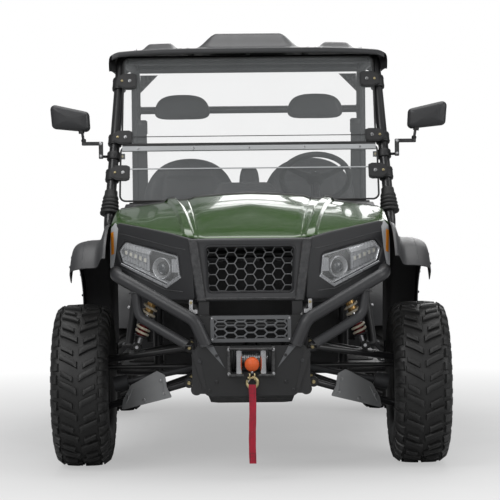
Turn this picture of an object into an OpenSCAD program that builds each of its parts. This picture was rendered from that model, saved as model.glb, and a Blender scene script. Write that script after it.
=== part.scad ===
// Two-seat side by side utility vehicle. Millimetres, +Z up, the front faces -Y,
// X = 0 on the centre plane, Y = 0 half way along, Z = 0 on the ground.

/* [Overall] */
// Length from the fairlead to the tailgate
overall_l = 2950; // [2850:10:3150]
// Width over the tyres
overall_w = 1580; // [1500:10:1700]
// Distance between the front and rear axles
wheelbase = 1920; // [1860:10:2000]
// Distance from the front end to the front axle
front_overhang = 485; // [470:5:510]
// Height of the roof's flat top
roof_z = 1756; // [1700:2:1860]

/* [Wheels] */
// Outer diameter of each tyre
tyre_d = 655; // [600:5:680]
// Width of each tyre
tyre_w = 229; // [200:1:240]
// Diameter of the bead seat, where the tyre sits on the rim
bead_d = 304; // [280:2:330]
// Diameter of the spindles that the wheels turn on
spindle_d = 40; // [30:1:50]
// How far each front wheel's centre lies outside its kingpin
kingpin_offset = 55; // [45:1:65]

/* [Frame] */
// Diameter of the main rails
rail_d = 44; // [36:1:50]
// Half the distance between the main rails
rail_x = 210; // [190:1:225]
// Diameter of the cross tubes
cross_d = 38; // [30:1:44]
// Diameter of the roll cage tubes
cage_d = 44; // [36:1:50]
// Half the width of the cage at the roof
cage_top_x = 562; // [540:1:580]
// Diameter of the bumper's upper tubes
bumper_d = 48; // [38:1:52]

/* [Body] */
// Thickness of the moulded body panels
panel_t = 6; // [4:0.5:8]
// Half the width of the hood at its rear edge
hood_x = 552; // [520:1:560]
// Half the width over the front fenders
fender_x = 708; // [690:1:730]
// Height of the hood's rear edge on the centre plane
hood_rear_z = 1096; // [1060:1:1110]
// Half the width of the roof
roof_x = 613; // [600:1:640]
// Length of the roof
roof_l = 840; // [780:5:880]
// Thickness of the windscreen panels
screen_t = 5; // [3:0.5:8]
// Diameter of the steering wheel
wheel_d = 335; // [300:5:370]

/* [Cargo bed] */
// Width of the cargo bed
bed_w = 1180; // [1060:10:1240]
// Height of the cargo bed's walls above its floor
bed_wall = 280; // [220:5:340]
// Thickness of the cargo bed's walls
bed_t = 28; // [16:1:36]

/* [Hidden] */
$fn = 48;

// Clearances: between pieces that seat on each other, a shaft in its bore, and a moving joint
seat_gap = 0.3;
shaft_gap = 0.05;
joint_gap = 0.5;
// The largest turn at one joint of a bent tube, and how much thicker its ball is
bend_step = 32;
joint_bulge = 0.6;

front_end = -overall_l / 2;
rear_end = overall_l / 2;
axle_z = tyre_d / 2;
wheel_x = (overall_w - tyre_w) / 2;
front_axle = front_end + front_overhang;
rear_axle = front_axle + wheelbase;
kingpin_x = wheel_x - kingpin_offset;

// The frame's levels and stations
rail_z = 345;
rail_top = rail_z + rail_d / 2;
sill_x = 590;
cab_front = front_axle + 410;
cab_rear = cab_front + 1010;
frame_front = front_end + 75;
frame_rear = rear_end - 95;
hoop_x = 395;
hoop_z = 835;
bed_rail_x = 230;
bed_rail_w = 40;
bed_rail_top = 720;

function unit(v) = v / norm(v);
function mix(a, b, t) = a + (b - a) * t;
// A superellipse's power of a sine or cosine, which keeps the sign
function squared_off(v, n) = sign(v) * pow(abs(v), 2 / n);

module both() {
    children();
    mirror([1, 0, 0])
        children();
}

// A round bar between two points
module rod(a, b, d) {
    run = b - a;
    translate(a)
        rotate([0, acos(run.z / norm(run)), atan2(run.y, run.x)])
            cylinder(h = norm(run), d = d);
}

// A box given by its low and high corners
module block(low, high) {
    translate(low)
        cube(high - low);
}

// Points round a bend of radius r at the corner p, between its neighbours
function bend_points(p, before, after, r) =
    let (u = unit(before - p), v = unit(after - p), half = acos(u * v) / 2, sweep = 180 - 2 * half,
        centre = p + unit(u + v) * r / sin(half), x_axis = unit(p + u * r / tan(half) - centre),
        y_axis = unit(cross(cross(x_axis, p + v * r / tan(half) - centre), x_axis)),
        steps = ceil(sweep / bend_step))
    [for (i = [0:steps]) let (a = sweep * i / steps) centre + r * (cos(a) * x_axis + sin(a) * y_axis)];

// A tube through a list of points, with its corners bent to the radius r. A ball a little
// thicker than the tube fills each joint between its straight lengths.
module bent_tube(pts, d, r) {
    path = [pts[0], for (i = [1:1:len(pts) - 2]) each bend_points(pts[i], pts[i - 1], pts[i + 1], r),
        pts[len(pts) - 1]];
    for (i = [0:len(path) - 2])
        rod(path[i], path[i + 1], d);
    for (i = [1:1:len(path) - 2])
        translate(path[i])
            sphere(d = d + joint_bulge);
}

// A closed panel between an outer and an inner grid of points, rows by columns.
// Seen from outside, the columns run to the right and the rows run up.
module shell_between(outer, inner) {
    rows = len(outer);
    cols = len(outer[0]);
    far = rows * cols;
    function quad(a, b, c, d) = [[a, c, b], [a, d, c]];
    faces = [
        for (i = [0:rows - 2]) for (j = [0:cols - 2])
            let (a = i * cols + j, b = a + 1, c = b + cols, d = a + cols)
            each concat(quad(a, b, c, d), quad(far + b, far + a, far + d, far + c)),
        for (j = [0:cols - 2]) let (a = j, b = (rows - 1) * cols + j)
            each concat(quad(a + far, a + 1 + far, a + 1, a), quad(b, b + 1, b + 1 + far, b + far)),
        for (i = [0:rows - 2]) let (a = i * cols, b = a + cols - 1)
            each concat(quad(a, a + cols, a + cols + far, a + far),
                quad(b + far, b + cols + far, b + cols, b))];
    polyhedron(points = [for (g = [outer, inner]) for (row = g) each row], faces = faces);
}

// A plate drawn in the X-Z plane, from y to y + t
module front_plate(y, t) {
    translate([0, y + t, 0])
        rotate([90, 0, 0])
            linear_extrude(t)
                children();
}

// A section drawn in the Y-Z plane, from x0 to x1
module side_section(x0, x1) {
    translate([x0, 0, 0])
        rotate([90, 0, 90])
            linear_extrude(x1 - x0)
                children();
}

// ---- Frame ----

hoop_front = [200, frame_front + 70, 640];
hoop_shock = [340, front_axle - 20, hoop_z];
hoop_rear_y = cab_front - 45;
shock_top_front = [352, front_axle, 792];
shock_top_rear = [275, rear_axle, bed_rail_top - bed_rail_w - 18];
bed_pivot = [0, rear_end - 165, bed_rail_top - bed_rail_w / 2];
bed_pivot_d = 30;
tail_bar = [0, bed_pivot.y + 25, 600];
arm_spread = 130;
tower_z = 505;
foot_w = 70;
pad_top = 372;

module chassis_frame() color("#1a1a1a") {
    both() {
        rod([rail_x, frame_front, rail_z], [rail_x, frame_rear, rail_z], rail_d);
        rod([sill_x, cab_front, rail_z], [sill_x, cab_rear, rail_z], cross_d);
        bent_tube([[200, frame_front + 30, rail_z], hoop_front, hoop_shock,
            [hoop_x, hoop_rear_y - 15, hoop_z], [hoop_x, hoop_rear_y, rail_z]], cross_d, 60);
        // Towers that the upper suspension arms turn on
        for (axle = [front_axle, rear_axle]) {
            for (side = [-arm_spread, arm_spread])
                rod([rail_x, axle + side, rail_z], [rail_x, axle + side, tower_z], cross_d);
            rod([rail_x, axle - arm_spread - 19, tower_z], [rail_x, axle + arm_spread + 19, tower_z],
                cross_d);
        }
        for (y = [cab_rear + 20, bed_pivot.y])
            rod([rail_x, y, rail_z], [rail_x, y, bed_rail_top - bed_rail_w], cross_d);
        block([bed_rail_x - bed_rail_w / 2, cab_rear - 40, bed_rail_top - bed_rail_w],
            [bed_rail_x + bed_rail_w / 2, bed_pivot.y, bed_rail_top]);
        // Pads that the roll cage stands on
        for (y = [cab_front, cab_rear])
            block([sill_x - foot_w / 2, y - foot_w / 2, rail_z],
                [sill_x + foot_w / 2, y + foot_w / 2, pad_top]);
        // Shock absorber towers
        block([shock_top_front.x - 22, front_axle - 26, shock_top_front.z + 18],
            [shock_top_front.x + 22, front_axle + 26, hoop_z + cross_d / 2]);
        block([bed_rail_x, rear_axle - 26, bed_rail_top - bed_rail_w],
            [shock_top_rear.x + 22, rear_axle + 26, bed_rail_top - 12]);
        // Stays and tabs that the fenders bolt to
        block([bed_rail_x, rear_axle + 45, bed_rail_top - 30],
            [500, rear_axle + 75, bed_rail_top - 8.4 - panel_t]);
        block([sill_x + 10, cab_front - 22, rail_z], [sill_x + 70, cab_front, pad_top - 1]);
        block([sill_x + 36, fender_rear_y, rail_z], [sill_x + 70, cab_front, 480]);
        // Brackets that carry the fascia, the bumper and the winch plate
        block([160, hoop_front.y - 15, hoop_front.z - 30],
            [200, hoop_front.y + 15, grille_low - seat_gap]);
        block([150, frame_front - 12, 330], [226, frame_front + 50, 500]);
        block([160, bumper_plate_y + seat_gap, 560], [200, frame_front + 62, 610]);
    }
    for (y = [frame_front + 30, front_axle - 30, rack_y, cab_front + 540, rear_axle - 190,
        frame_rear])
        rod([-rail_x, y, rail_z], [rail_x, y, rail_z], cross_d);
    for (y = [cab_front, cab_rear])
        rod([-sill_x, y, rail_z], [sill_x, y, rail_z], cross_d);
    rod([-200, frame_front + 60, 585], [200, frame_front + 60, 585], cross_d);
    // Bar that carries the tail lights
    rod([-440, tail_bar.y, tail_bar.z], [440, tail_bar.y, tail_bar.z], 30);
    rod([-300, bed_pivot.y, bed_pivot.z], [300, bed_pivot.y, bed_pivot.z], bed_pivot_d);
}

// The front pillars: where they pass the cowl and where they bend into the roof
pillar_low = [603, cab_front + 5, 980];
cage_top_z = roof_z - 52;
cage_bend = 77;
pillar_top = [cage_top_x, cab_front + 305, cage_top_z];
post_x = 545;
post_y = cab_rear + 20;
pillar_run = pillar_top - pillar_low;
// The point on a front pillar's centre line at the height z
function pillar_at(z) = pillar_low + pillar_run * (z - pillar_low.z) / pillar_run.z;
headrest_bar_z = 1513;
dash_bar_z = 840;

module roll_cage() color("#161616") {
    both() {
        bent_tube([[sill_x, cab_front, pad_top + 2], pillar_low, pillar_top,
            [post_x, post_y, cage_top_z], [post_x, post_y, 700],
            [sill_x, cab_rear, pad_top + 6]], cage_d, cage_bend);
        for (y = [cab_front, cab_rear])
            block([sill_x - foot_w / 2, y - foot_w / 2, pad_top + seat_gap],
                [sill_x + foot_w / 2, y + foot_w / 2, pad_top + 10]);
    }
    front_bar_y = pillar_top.y + 90;
    for (y = [front_bar_y, post_y - 90])
        rod([-cage_top_x + 8, y, cage_top_z], [cage_top_x - 8, y, cage_top_z], cage_d - 6);
    rod([-post_x, post_y, headrest_bar_z], [post_x, post_y, headrest_bar_z], 36);
    rod([-post_x, post_y, 1080], [post_x, post_y, 1080], 32);
    dash_bar_x = sill_x + 8;
    rod([-dash_bar_x, cab_front + 4, dash_bar_z], [dash_bar_x, cab_front + 4, dash_bar_z], 32);
}

// ---- Cab ----

floor_low = rail_top + seat_gap;
floor_t = 6;
floor_x = sill_x - foot_w / 2 - 5;
bulkhead_y = cab_front - 18;
tunnel_x = 90;
column_d = 36;
steer_arm = 70;
rack_y = front_axle + steer_arm;
rack_z = axle_z + 65;
rack_bar_d = 24;
steer_lean = 47;
steer_centre = [300, cab_front + 460, 1168];
steer_axis = [0, cos(steer_lean), sin(steer_lean)];
column_end = steer_centre - steer_axis * 330;
shaft_end = [110, rack_y + 14, rack_z + 12];

module floor_pan() color("#202020") {
    difference() {
        union() {
            block([-floor_x, bulkhead_y + 10, floor_low], [floor_x, cab_rear - 40, floor_low + floor_t]);
            block([-hoop_x + 24, bulkhead_y, floor_low],
                [hoop_x - 24, bulkhead_y + panel_t, dash_bar_z - 30]);
            block([-tunnel_x, bulkhead_y, floor_low], [tunnel_x, cab_front + 480, 520]);
        }
        rod(column_end, shaft_end, column_d + 30);
        prop_bore();
    }
}

// The way for the propeller shaft through the tunnel and the seat base
prop_z = axle_z + 118;
prop_d = 44;
module prop_bore() {
    rod([0, bulkhead_y - 10, prop_z], [0, cab_rear, prop_z], prop_d + 16);
}

dash_low = dash_bar_z + 16 + seat_gap;
dash_x = 540;

module dashboard() color("#2b2b2b") {
    difference() {
        union() {
            side_section(-dash_x, dash_x)
                polygon([[cab_front - 25, dash_low], [cab_front - 25, 1000], [cab_front - 16, 1026],
                    [cab_front + 30, 1042], [cab_front + 165, 1062], [cab_front + 235, 1010],
                    [cab_front + 245, 900], [cab_front + 180, dash_low]]);
            // Instrument hood in the middle and a cowl round the steering column
            side_section(-157, 114)
                polygon([[cab_front + 110, 1040], [cab_front + 150, 1150],
                    [cab_front + 200, 1146], [cab_front + 236, 1010]]);
            rod(steer_centre - steer_axis * 300, steer_centre - steer_axis * 120, 86);
            hood_hinge_posts();
        }
        rod(steer_centre - steer_axis * 340, steer_centre, column_d + 2);
        rod(column_end, shaft_end, column_d + 12);
    }
}

module steering_column() color("#303030") {
    rod(column_end, steer_centre - steer_axis * 42, column_d);
    rod(column_end, shaft_end, 20);
    translate(column_end)
        sphere(d = column_d + 0.4);
    difference() {
        union() {
            rod([-130, rack_y, rack_z], [130, rack_y, rack_z], 50);
            both()
                block([60, rack_y - 20, rail_z + cross_d / 2 + seat_gap], [90, rack_y + 20, rack_z]);
        }
        rod([-140, rack_y, rack_z], [140, rack_y, rack_z], rack_bar_d + 2 * shaft_gap);
    }
}

rim_bar_d = 27;

module steering_wheel() color("#151515") {
    translate(steer_centre)
        rotate([steer_lean - 90, 0, 0]) {
            rotate_extrude()
                translate([(wheel_d - rim_bar_d) / 2, 0])
                    circle(d = rim_bar_d);
            for (a = [90, 210, 330])
                rotate(a)
                    rod([20, 0, -12], [(wheel_d - rim_bar_d) / 2, 0, 0], 20);
            translate([0, 0, -42 + joint_gap])
                cylinder(h = 46, d = 84);
        }
}

tie_end_z = rack_z - 13;

module steering_rack() color("#242424") {
    rod([-245, rack_y, rack_z], [245, rack_y, rack_z], rack_bar_d);
    both() {
        rod([240, rack_y, rack_z], [kingpin_x - 10, rack_y, rack_z], 20);
        translate([kingpin_x - 10, rack_y, tie_end_z])
            cylinder(h = 26, d = 28);
    }
}

// ---- Front body ----

fascia_x = 240;
fascia_sweep = 34;
fascia_y = front_end + 150;
fascia_t = 12;
hood_front_y = fascia_y + 22;
hood_rear_y = cab_front - 28;
hood_hinge = [0, cab_front - 32, hood_rear_z - 36];
hood_pin_d = 12;
hood_lug_x = 250;
hood_steps = 12;

// The hood's plan, height and skirt, from the place x across it
function hood_front(x) = hood_front_y + tan(fascia_sweep) * max(0, abs(x) - fascia_x);
function hood_edge_z(x) = 926 + 60 * pow(max(0, abs(x) - fascia_x) / (hood_x - fascia_x), 0.8);
function hood_back_z(x) = hood_rear_z - 59 * pow(abs(x) / hood_x, 1.6);
function hood_z(x, v) = mix(hood_edge_z(x), hood_back_z(x), pow(v, 0.85)) + 16 * sin(180 * v);
function hood_grid(inset) = [for (i = [0:hood_steps]) let (v = i / hood_steps) [
    for (j = [-hood_steps - 1:hood_steps + 1])
        let (x = hood_x * max(-1, min(1, j / hood_steps)), skirt = abs(j) > hood_steps)
        [x - sign(x) * (abs(j) >= hood_steps ? inset : 0), mix(hood_front(x), hood_rear_y, v),
            hood_z(x, v) - (skirt ? mix(45, 95, v) : inset)]]];

module hood() color("#35551f") {
    difference() {
        union() {
            shell_between(hood_grid(0), hood_grid(panel_t));
            both()
                block([hood_lug_x - 10, hood_hinge.y - 10, hood_hinge.z - 10],
                    [hood_lug_x + 10, hood_hinge.y + 10, hood_hinge.z + 17]);
        }
        rod([-400, hood_hinge.y, hood_hinge.z], [400, hood_hinge.y, hood_hinge.z],
            hood_pin_d + 2 * shaft_gap);
    }
}

// The pins that the hood turns on, on posts of the cowl
module hood_hinge_posts() {
    both() {
        rod([hood_lug_x - 22, hood_hinge.y, hood_hinge.z], [hood_lug_x + 22, hood_hinge.y, hood_hinge.z],
            hood_pin_d);
        for (x = [hood_lug_x - 22, hood_lug_x + 10 + joint_gap])
            block([x, hood_hinge.y - 9, 990], [x + 11, hood_hinge.y + 9, hood_hinge.z + 6]);
    }
}

// Outlines in front view: the grille's surround and its opening, one side panel and one lamp
grille_low = 680;
grille_high = 922;
surround = [[-241, grille_high], [241, grille_high], [208, grille_low], [-208, grille_low]];
grille_hole = [[-168, 888], [168, 888], [160, 718], [-160, 718]];
side_outline = [[228, 921], [400, 962], [520, 984], [552, 960], [556, 800], [520, 772],
    [312, 684], [216, 684]];
lamp_outline = [[520, 874], [494, 907], [286, 854], [278, 776], [325, 744], [506, 827]];

// Lays a front view outline on the swept-back plane of the headlights, u being along it
module swept(y, t) {
    translate([fascia_x, fascia_y, 0])
        rotate(fascia_sweep)
            front_plate(y, t)
                children();
}
function along(p) = [(p.x - fascia_x) / cos(fascia_sweep), p.y];

module front_fascia() color("#3f4143") {
    front_plate(fascia_y - 25, 40)
        difference() {
            polygon(surround);
            polygon(grille_hole);
        }
    both()
        swept(0, fascia_t)
            difference() {
                polygon([for (p = side_outline) along(p)]);
                polygon([for (p = lamp_outline) along(mix([400, 825], p, 1.008))]);
            }
}

// A grid of flat bars across an opening, from y to y + t
module bars(x0, x1, z0, z1, pitch, bar, y, t) {
    for (x = [x0 + pitch / 2:pitch:x1 - bar])
        block([x, y, z0], [x + bar, y + t, z1]);
    for (z = [z0 + pitch / 2:pitch:z1 - bar])
        block([x0, y + 1, z], [x1, y + t - 1, z + bar]);
}

module grille_mesh() color("#101010") {
    // The mesh lies behind the surround's opening and bolts to its back
    bars(-176, 176, 712, 896, 34, 6, fascia_y + 15 + seat_gap, 6);
}

module headlights() color("#dfe6ea") {
    both()
        swept(4, 66)
            polygon([for (p = lamp_outline) along(p)]);
}

// The front fender's arch: a superellipse round the wheel, as far as the steered tyre needs
arch_n = 2.6;
arch_l = 386;
front_arch_y = front_axle - 8;
fender_rear_y = front_arch_y + arch_l - 2.5;
arch_h = 915 - axle_z;
arch_from = 49;
arch_to = 172;
arch_steps = 20;
function arch_point(t, l, h, axle) = [axle - l * squared_off(cos(t), arch_n),
    axle_z + h * squared_off(sin(t), arch_n)];
function arch_normal(t, l, h, axle) = let (
    run = arch_point(t + 0.5, l, h, axle) - arch_point(t - 0.5, l, h, axle)) unit([-run.y, run.x]);
// A grid over an arch. The profile lists each column's x and how far it stands off the arch;
// what stands above it fades away past the angle fade, and the outer lip fades to lip_keep.
lip_keep = 0.4;
function arch_grid(profile, h, axle, from, to, fade, inset) = [for (i = [0:arch_steps])
    let (t = mix(from, to, i / arch_steps), p = arch_point(t, arch_l, h, axle),
        n = arch_normal(t, arch_l, h, axle), keep = max(0, min(1, 1 - (t - fade) / 18)))
    [for (k = [0:len(profile) - 1])
        let (c = profile[k], lip = k == len(profile) - 1,
            side = c[0] > fender_x - 5 || (c[0] > 570 && c[1] > 5),
            share = c[1] > 0 ? keep : c[0] == fender_x ? max(lip_keep, keep) : 1,
            off = c[1] * share - (lip ? 0 : inset))
        [c[0] - (side ? inset : 0), p.x + n.x * off, p.y + n.y * off]]];
front_profile = [[560, 66], [578, 62], [594, 8], [640, 0], [fender_x - 23, -10], [fender_x, -38],
    [fender_x, -95]];
rear_profile = [[470, 0], [560, 0], [640, 0], [fender_x - 10, -3], [fender_x, -12], [fender_x, -32]];

// A fender as a shell over an arch
module fender(profile, h, axle, from, to, fade) {
    shell_between(arch_grid(profile, h, axle, from, to, fade, 0),
        arch_grid(profile, h, axle, from, to, fade, panel_t));
}

module front_fenders() color("#2c2d2e") {
    both()
        fender(front_profile, arch_h, front_arch_y, arch_from, arch_to, 112);
}

rear_arch_h = bed_rail_top - axle_z - 6;

module rear_fenders() color("#2c2d2e") {
    both()
        fender(rear_profile, rear_arch_h, rear_axle, 12, 166, 180);
}

// ---- Bumper and winch ----

plate_y = frame_front - 12 - seat_gap;
plate_t = 8;
bumper_plate_y = frame_front + 30 - seat_gap;
winch_plate_top = 513;
winch_hole = [[-76, 402], [76, 402], [76, 505], [-76, 505]];

module bumper_plate() color("#3a3b3d") {
    front_plate(bumper_plate_y - plate_t, plate_t)
        difference() {
            polygon([[-210, 627], [210, 627], [205, 560], [175, 524], [-175, 524], [-205, 560]]);
            translate([-145, 536])
                square([290, 78]);
        }
    // Frame and mesh over the opening
    front_plate(bumper_plate_y - plate_t - 6, 6)
        difference() {
            translate([-155, 526])
                square([310, 98]);
            translate([-143, 538])
                square([286, 74]);
        }
    bars(-143, 143, 538, 612, 36, 6, bumper_plate_y - plate_t - 6, 6);
}

upper_x = fender_x - 176;
upper_end = [upper_x, fascia_y + tan(fascia_sweep) * (upper_x - bumper_d / 2 - fascia_x) - 2, 790];
upper_bend = [upper_x - 12, frame_front + 110, 780];
upper_low = [215, plate_y - plate_t / 2, 612];
upper_foot = [172, plate_y - plate_t / 2, winch_plate_top - 8];
branch = mix(upper_bend, upper_low, 0.24);

module bumper_tubes() color("#262728") {
    difference() {
        both() {
            bent_tube([upper_end, upper_bend, upper_low, upper_foot], bumper_d, 45);
            bent_tube([branch, [432, branch.y - 8, 622], [242, frame_front - 2, 512]], bumper_d - 10, 45);
        }
        // The feet are cut level, where they stand on the winch plate
        block([-205, upper_foot.y - 60, 440], [205, upper_foot.y + 60, winch_plate_top + seat_gap]);
    }
}

module winch_plate() color("#1c1c1c") {
    front_plate(plate_y - plate_t, plate_t)
        difference() {
            polygon([[-229, 480], [-205, winch_plate_top], [205, winch_plate_top], [229, 480],
                [183, 335], [165, 322], [-165, 322], [-183, 335]]);
            polygon(winch_hole);
        }
    // The skid plate that sweeps back under the nose
    translate([-165, plate_y - plate_t, 322])
        rotate([-12, 0, 0])
            cube([330, 260, plate_t - 2]);
}

winch_z = 453;
roller_x = 46;
roller_y = plate_y - plate_t - 20;

module winch() color("#2a2a2a") {
    // Drum between a motor and a gearbox, on a tray behind the plate
    rod([-70, plate_y + 75, winch_z], [70, plate_y + 75, winch_z], 54);
    rod([-145, plate_y + 75, winch_z], [-69, plate_y + 75, winch_z], 92);
    rod([69, plate_y + 75, winch_z], [145, plate_y + 75, winch_z], 88);
    block([-146, plate_y + seat_gap, winch_z - 64], [146, plate_y + 115, winch_z - 44]);
}

module fairlead() color("#c9ccd0") {
    both() {
        rod([roller_x, roller_y, winch_z - 46], [roller_x, roller_y, winch_z + 46], 26);
        block([79, roller_y + 8, winch_z - 58], [91, plate_y - plate_t - seat_gap, winch_z + 58]);
        block([roller_x - 18, roller_y - 13, winch_z - 54], [85, plate_y - plate_t - seat_gap, winch_z - 46]);
    }
    block([-85, roller_y - 13, winch_z + 46], [85, plate_y - plate_t - seat_gap, winch_z + 54]);
}

stopper_d = 56;
hook_x = 3;
hook_y = front_end + stopper_d / 2;
stopper_z = winch_z - 8;
hook_wire = 12;
hook_r = 21;
hook_z = 376;

module winch_hook() color("#b9a86a") {
    // Rope, stopper and thimble, with the hook hanging under the stopper
    rod([hook_x, plate_y + 48 - seat_gap, winch_z], [hook_x, hook_y, stopper_z], 8);
    translate([hook_x, hook_y, stopper_z])
        sphere(d = stopper_d);
    rod([hook_x, hook_y, stopper_z], [hook_x, hook_y, hook_z + hook_r], hook_wire);
    translate([hook_x, hook_y, hook_z])
        rotate([90, 0, 0])
            rotate_extrude()
                translate([hook_r, 0])
                    circle(d = hook_wire);
}

// The strap's route: down from the hook, each point 20 mm or so below the last
strap_w = 27;
strap_t = 3;
strap_y = hook_y - hook_wire / 2 - strap_t / 2 - seat_gap;
strap_top = 368;
strap_points = [for (i = [0:15]) [hook_x + 1.5 * sin(i * 24), strap_y - i * 0.3, strap_top - 20 * i]];
strap_section = [[-0.5, -0.2], [-0.45, -0.5], [0.45, -0.5], [0.5, -0.2], [0.5, 0.2], [0.45, 0.5],
    [-0.45, 0.5], [-0.5, 0.2]];

module hook_strap() color("#a3122f") {
    sides = len(strap_section);
    rings = len(strap_points);
    polyhedron(
        points = [for (p = strap_points) for (c = strap_section)
            p + [c.x * strap_w, c.y * strap_t, 0]],
        faces = [[for (k = [sides - 1:-1:0]) k], [for (k = [0:sides - 1]) (rings - 1) * sides + k],
            for (i = [0:rings - 2]) for (k = [0:sides - 1])
                let (a = i * sides + k, b = i * sides + (k + 1) % sides)
                each [[a, b, b + sides], [a, b + sides, a + sides]]]);
}

// ---- Seats ----

seat_x = 285;
seat_w = 470;
seat_base_top = 640;
seat_front = cab_front + 520;
cushion_t = 105;
back_lean = 9;
back_front = [0, cab_front + 840, seat_base_top + cushion_t + 12];
back_h = 545;
back_t = 88;
head_size = [276, 62, 133];
head_x = 320;

module seat_base() color("#1d1d1d") {
    difference() {
        block([-post_x + 28, seat_front, floor_low + floor_t + seat_gap],
            [post_x - 28, cab_rear - 40, seat_base_top]);
        both()
            block([60, seat_front - 1, floor_low + 60], [post_x - 70, seat_front + 30, seat_base_top - 50]);
        prop_bore();
    }
    // The back shell behind the seat backs
    translate(back_front)
        rotate([-back_lean, 0, 0])
            translate([-post_x + 40, back_t + seat_gap, -120])
                cube([2 * post_x - 80, panel_t, 440]);
}

module seat_cushions() color("#262626") {
    both()
        block([seat_x - seat_w / 2, seat_front + 6, seat_base_top + seat_gap],
            [seat_x + seat_w / 2, back_front.y + 30, seat_base_top + seat_gap + cushion_t]);
}

// The narrow pad between the two seat backs is this far below their tops
back_dip = 58;
mid_half = seat_x - seat_w / 2 - seat_gap;

module seat_backs() color("#262626") {
    translate(back_front)
        rotate([-back_lean, 0, 0]) {
            both()
                translate([seat_x - seat_w / 2, 0, 0])
                    cube([seat_w, back_t, back_h]);
            // The pad between them
            translate([-mid_half, 12, 0])
                cube([2 * mid_half, back_t - 12, back_h - back_dip]);
        }
}

module headrests() color("#1b1b1b") {
    both()
        block([head_x - head_size.x / 2, post_y - 18 - seat_gap - head_size.y, headrest_bar_z - 59],
            [head_x + head_size.x / 2, post_y - 18 - seat_gap, headrest_bar_z - 59 + head_size.z]);
}

// ---- Roof and windscreen ----

roof_front = cab_front + 230;
roof_t = 10;
roof_cols = 44;
roof_rows = 14;
// A smooth step from 0 at a to 1 at b
function ease(v, a, b) = let (t = max(0, min(1, (v - a) / (b - a)))) t * t * (3 - 2 * t);
function bump(v, half, slope) = 1 - ease(abs(v), half, half + slope);
// The roof's height at a place across it and along it, from 0 at the front to 1 at the back
function roof_rise(x, v) = bump(x, 165, 45) * bump(v - 0.5, 0.36, 0.1) * 66
    + bump(abs(x) - 392, 60, 18) * bump(v - 0.5, 0.38, 0.08) * 26
    - 18 * pow(abs(x) / roof_x, 4) - 14 * pow(abs(2 * v - 1), 3);
function roof_grid(inset) = [for (i = [0:roof_rows]) let (v = i / roof_rows) [
    for (j = [-roof_cols / 2 - 2:roof_cols / 2 + 2])
        let (k = abs(j) - roof_cols / 2, x = sign(j) * min(1, abs(j) / (roof_cols / 2)) * (roof_x - 14))
        [x + (k == 1 ? sign(j) * 14 : 0) - (k > 0 ? sign(j) * inset : 0),
            roof_front + roof_l * v,
            k == 1 ? roof_z - 48 : k == 2 ? roof_z - 88 : roof_z + roof_rise(x, v) - inset]]];

module roof() color("#2e2f30") {
    shell_between(roof_grid(0), roof_grid(roof_t));
    // Pads that the roof bolts to the cage through
    both()
        for (y = [pillar_top.y + 110, post_y - 130])
            block([cage_top_x - 34, y - 25, cage_top_z + cage_d / 2 + seat_gap],
                [cage_top_x - 4, y + 25, roof_z - 19]);
}

// The screen lies ahead of the pillars, in their plane
screen_lean = atan2(pillar_run.y, pillar_run.z);
screen_off = cage_d / 2 + 8;
screen_split = 1300;
screen_low = 1058;
screen_high = cage_top_z - 10;
function screen_at(z) = pillar_at(z) + [0, -cos(screen_lean), sin(screen_lean)] * screen_off;

// A panel of the screen between two heights, w wide
module screen_panel(z0, z1, w) {
    low = screen_at(z0);
    translate([0, low.y, low.z])
        rotate([-screen_lean, 0, 0])
            translate([-w, -screen_t, 0])
                cube([2 * w, screen_t, (z1 - z0) / cos(screen_lean)]);
}

module windshield() color("#dfe8ea", 0.4) {
    screen_panel(screen_low, screen_split - 4, 557);
    screen_panel(screen_split + 4, screen_high, 552);
}

// A sleeve round a front pillar between two heights
module sleeve(z0, z1, d) {
    difference() {
        rod(pillar_at(z0), pillar_at(z1), d);
        rod(pillar_at(z0 - 9), pillar_at(z1 + 9), cage_d + 2 * seat_gap);
    }
}

module windshield_clamps() color("#1e1e1e") {
    both()
        for (z = [1180, 1335, 1585]) {
            sleeve(z - 26, z + 26, cage_d + 14);
            hold = screen_at(z);
            // The jaw that grips the panel's edge from behind
            translate([0, hold.y, hold.z])
                rotate([-screen_lean, 0, 0])
                    difference() {
                        translate([hold.x - 64, seat_gap, -22])
                            cube([50, 9, 44]);
                        translate([hold.x, screen_off, -60])
                            cylinder(d = cage_d + 6, h = 120);
                    }
        }
}

boot_low = 1016;
boot_ring = 17;

module pillar_boots() color("#141414") {
    both()
        difference() {
            union() {
                for (i = [0:4])
                    rod(pillar_at(boot_low + i * boot_ring), pillar_at(boot_low + (i + 0.72) * boot_ring),
                        82 - i * 4);
                rod(pillar_at(boot_low + 1), pillar_at(boot_low + 6.4 * boot_ring), 58);
            }
            rod(pillar_at(boot_low - 9), pillar_at(boot_low + 7 * boot_ring), cage_d + 2 * seat_gap);
        }
}

mirror_z = 1300;
mirror_outline = [[685, 1371], [850, 1388], [859, 1496], [690, 1458]];
mirror_y = cab_front + 88;
mirror_d = 46;

module mirrors() color("#1a1a1a") {
    both() {
        hold = pillar_at(mirror_z - 34);
        sleeve(mirror_z - 52, mirror_z - 18, cage_d + 16);
        rod(hold + [cage_d / 2 + 7, 0, 0], [640, mirror_y, mirror_z - 34], 12);
        // A cranked bar and the stem that stands on it
        front_plate(mirror_y - 9, 18)
            polygon([[631, mirror_z - 44], [649, mirror_z - 44], [649, mirror_z + 14],
                [722, mirror_z + 14], [722, mirror_z + 30], [631, mirror_z + 30]]);
        rod([713, mirror_y, mirror_z + 22], [724, mirror_y, 1400], 12);
        front_plate(mirror_y - mirror_d / 2, mirror_d)
            polygon(mirror_outline);
    }
}

// ---- Cargo bed ----

bed_floor_z = bed_rail_top + seat_gap;
bed_floor_t = 14;
bed_front = cab_rear + 65;
gate_t = 25;
bed_back = rear_end - gate_t - 5;
bed_top = bed_floor_z + bed_floor_t + bed_wall;
gate_hinge = [0, rear_end - 10, bed_floor_z + 8];
gate_pin_d = 12;
gate_lug_x = 340;

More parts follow.
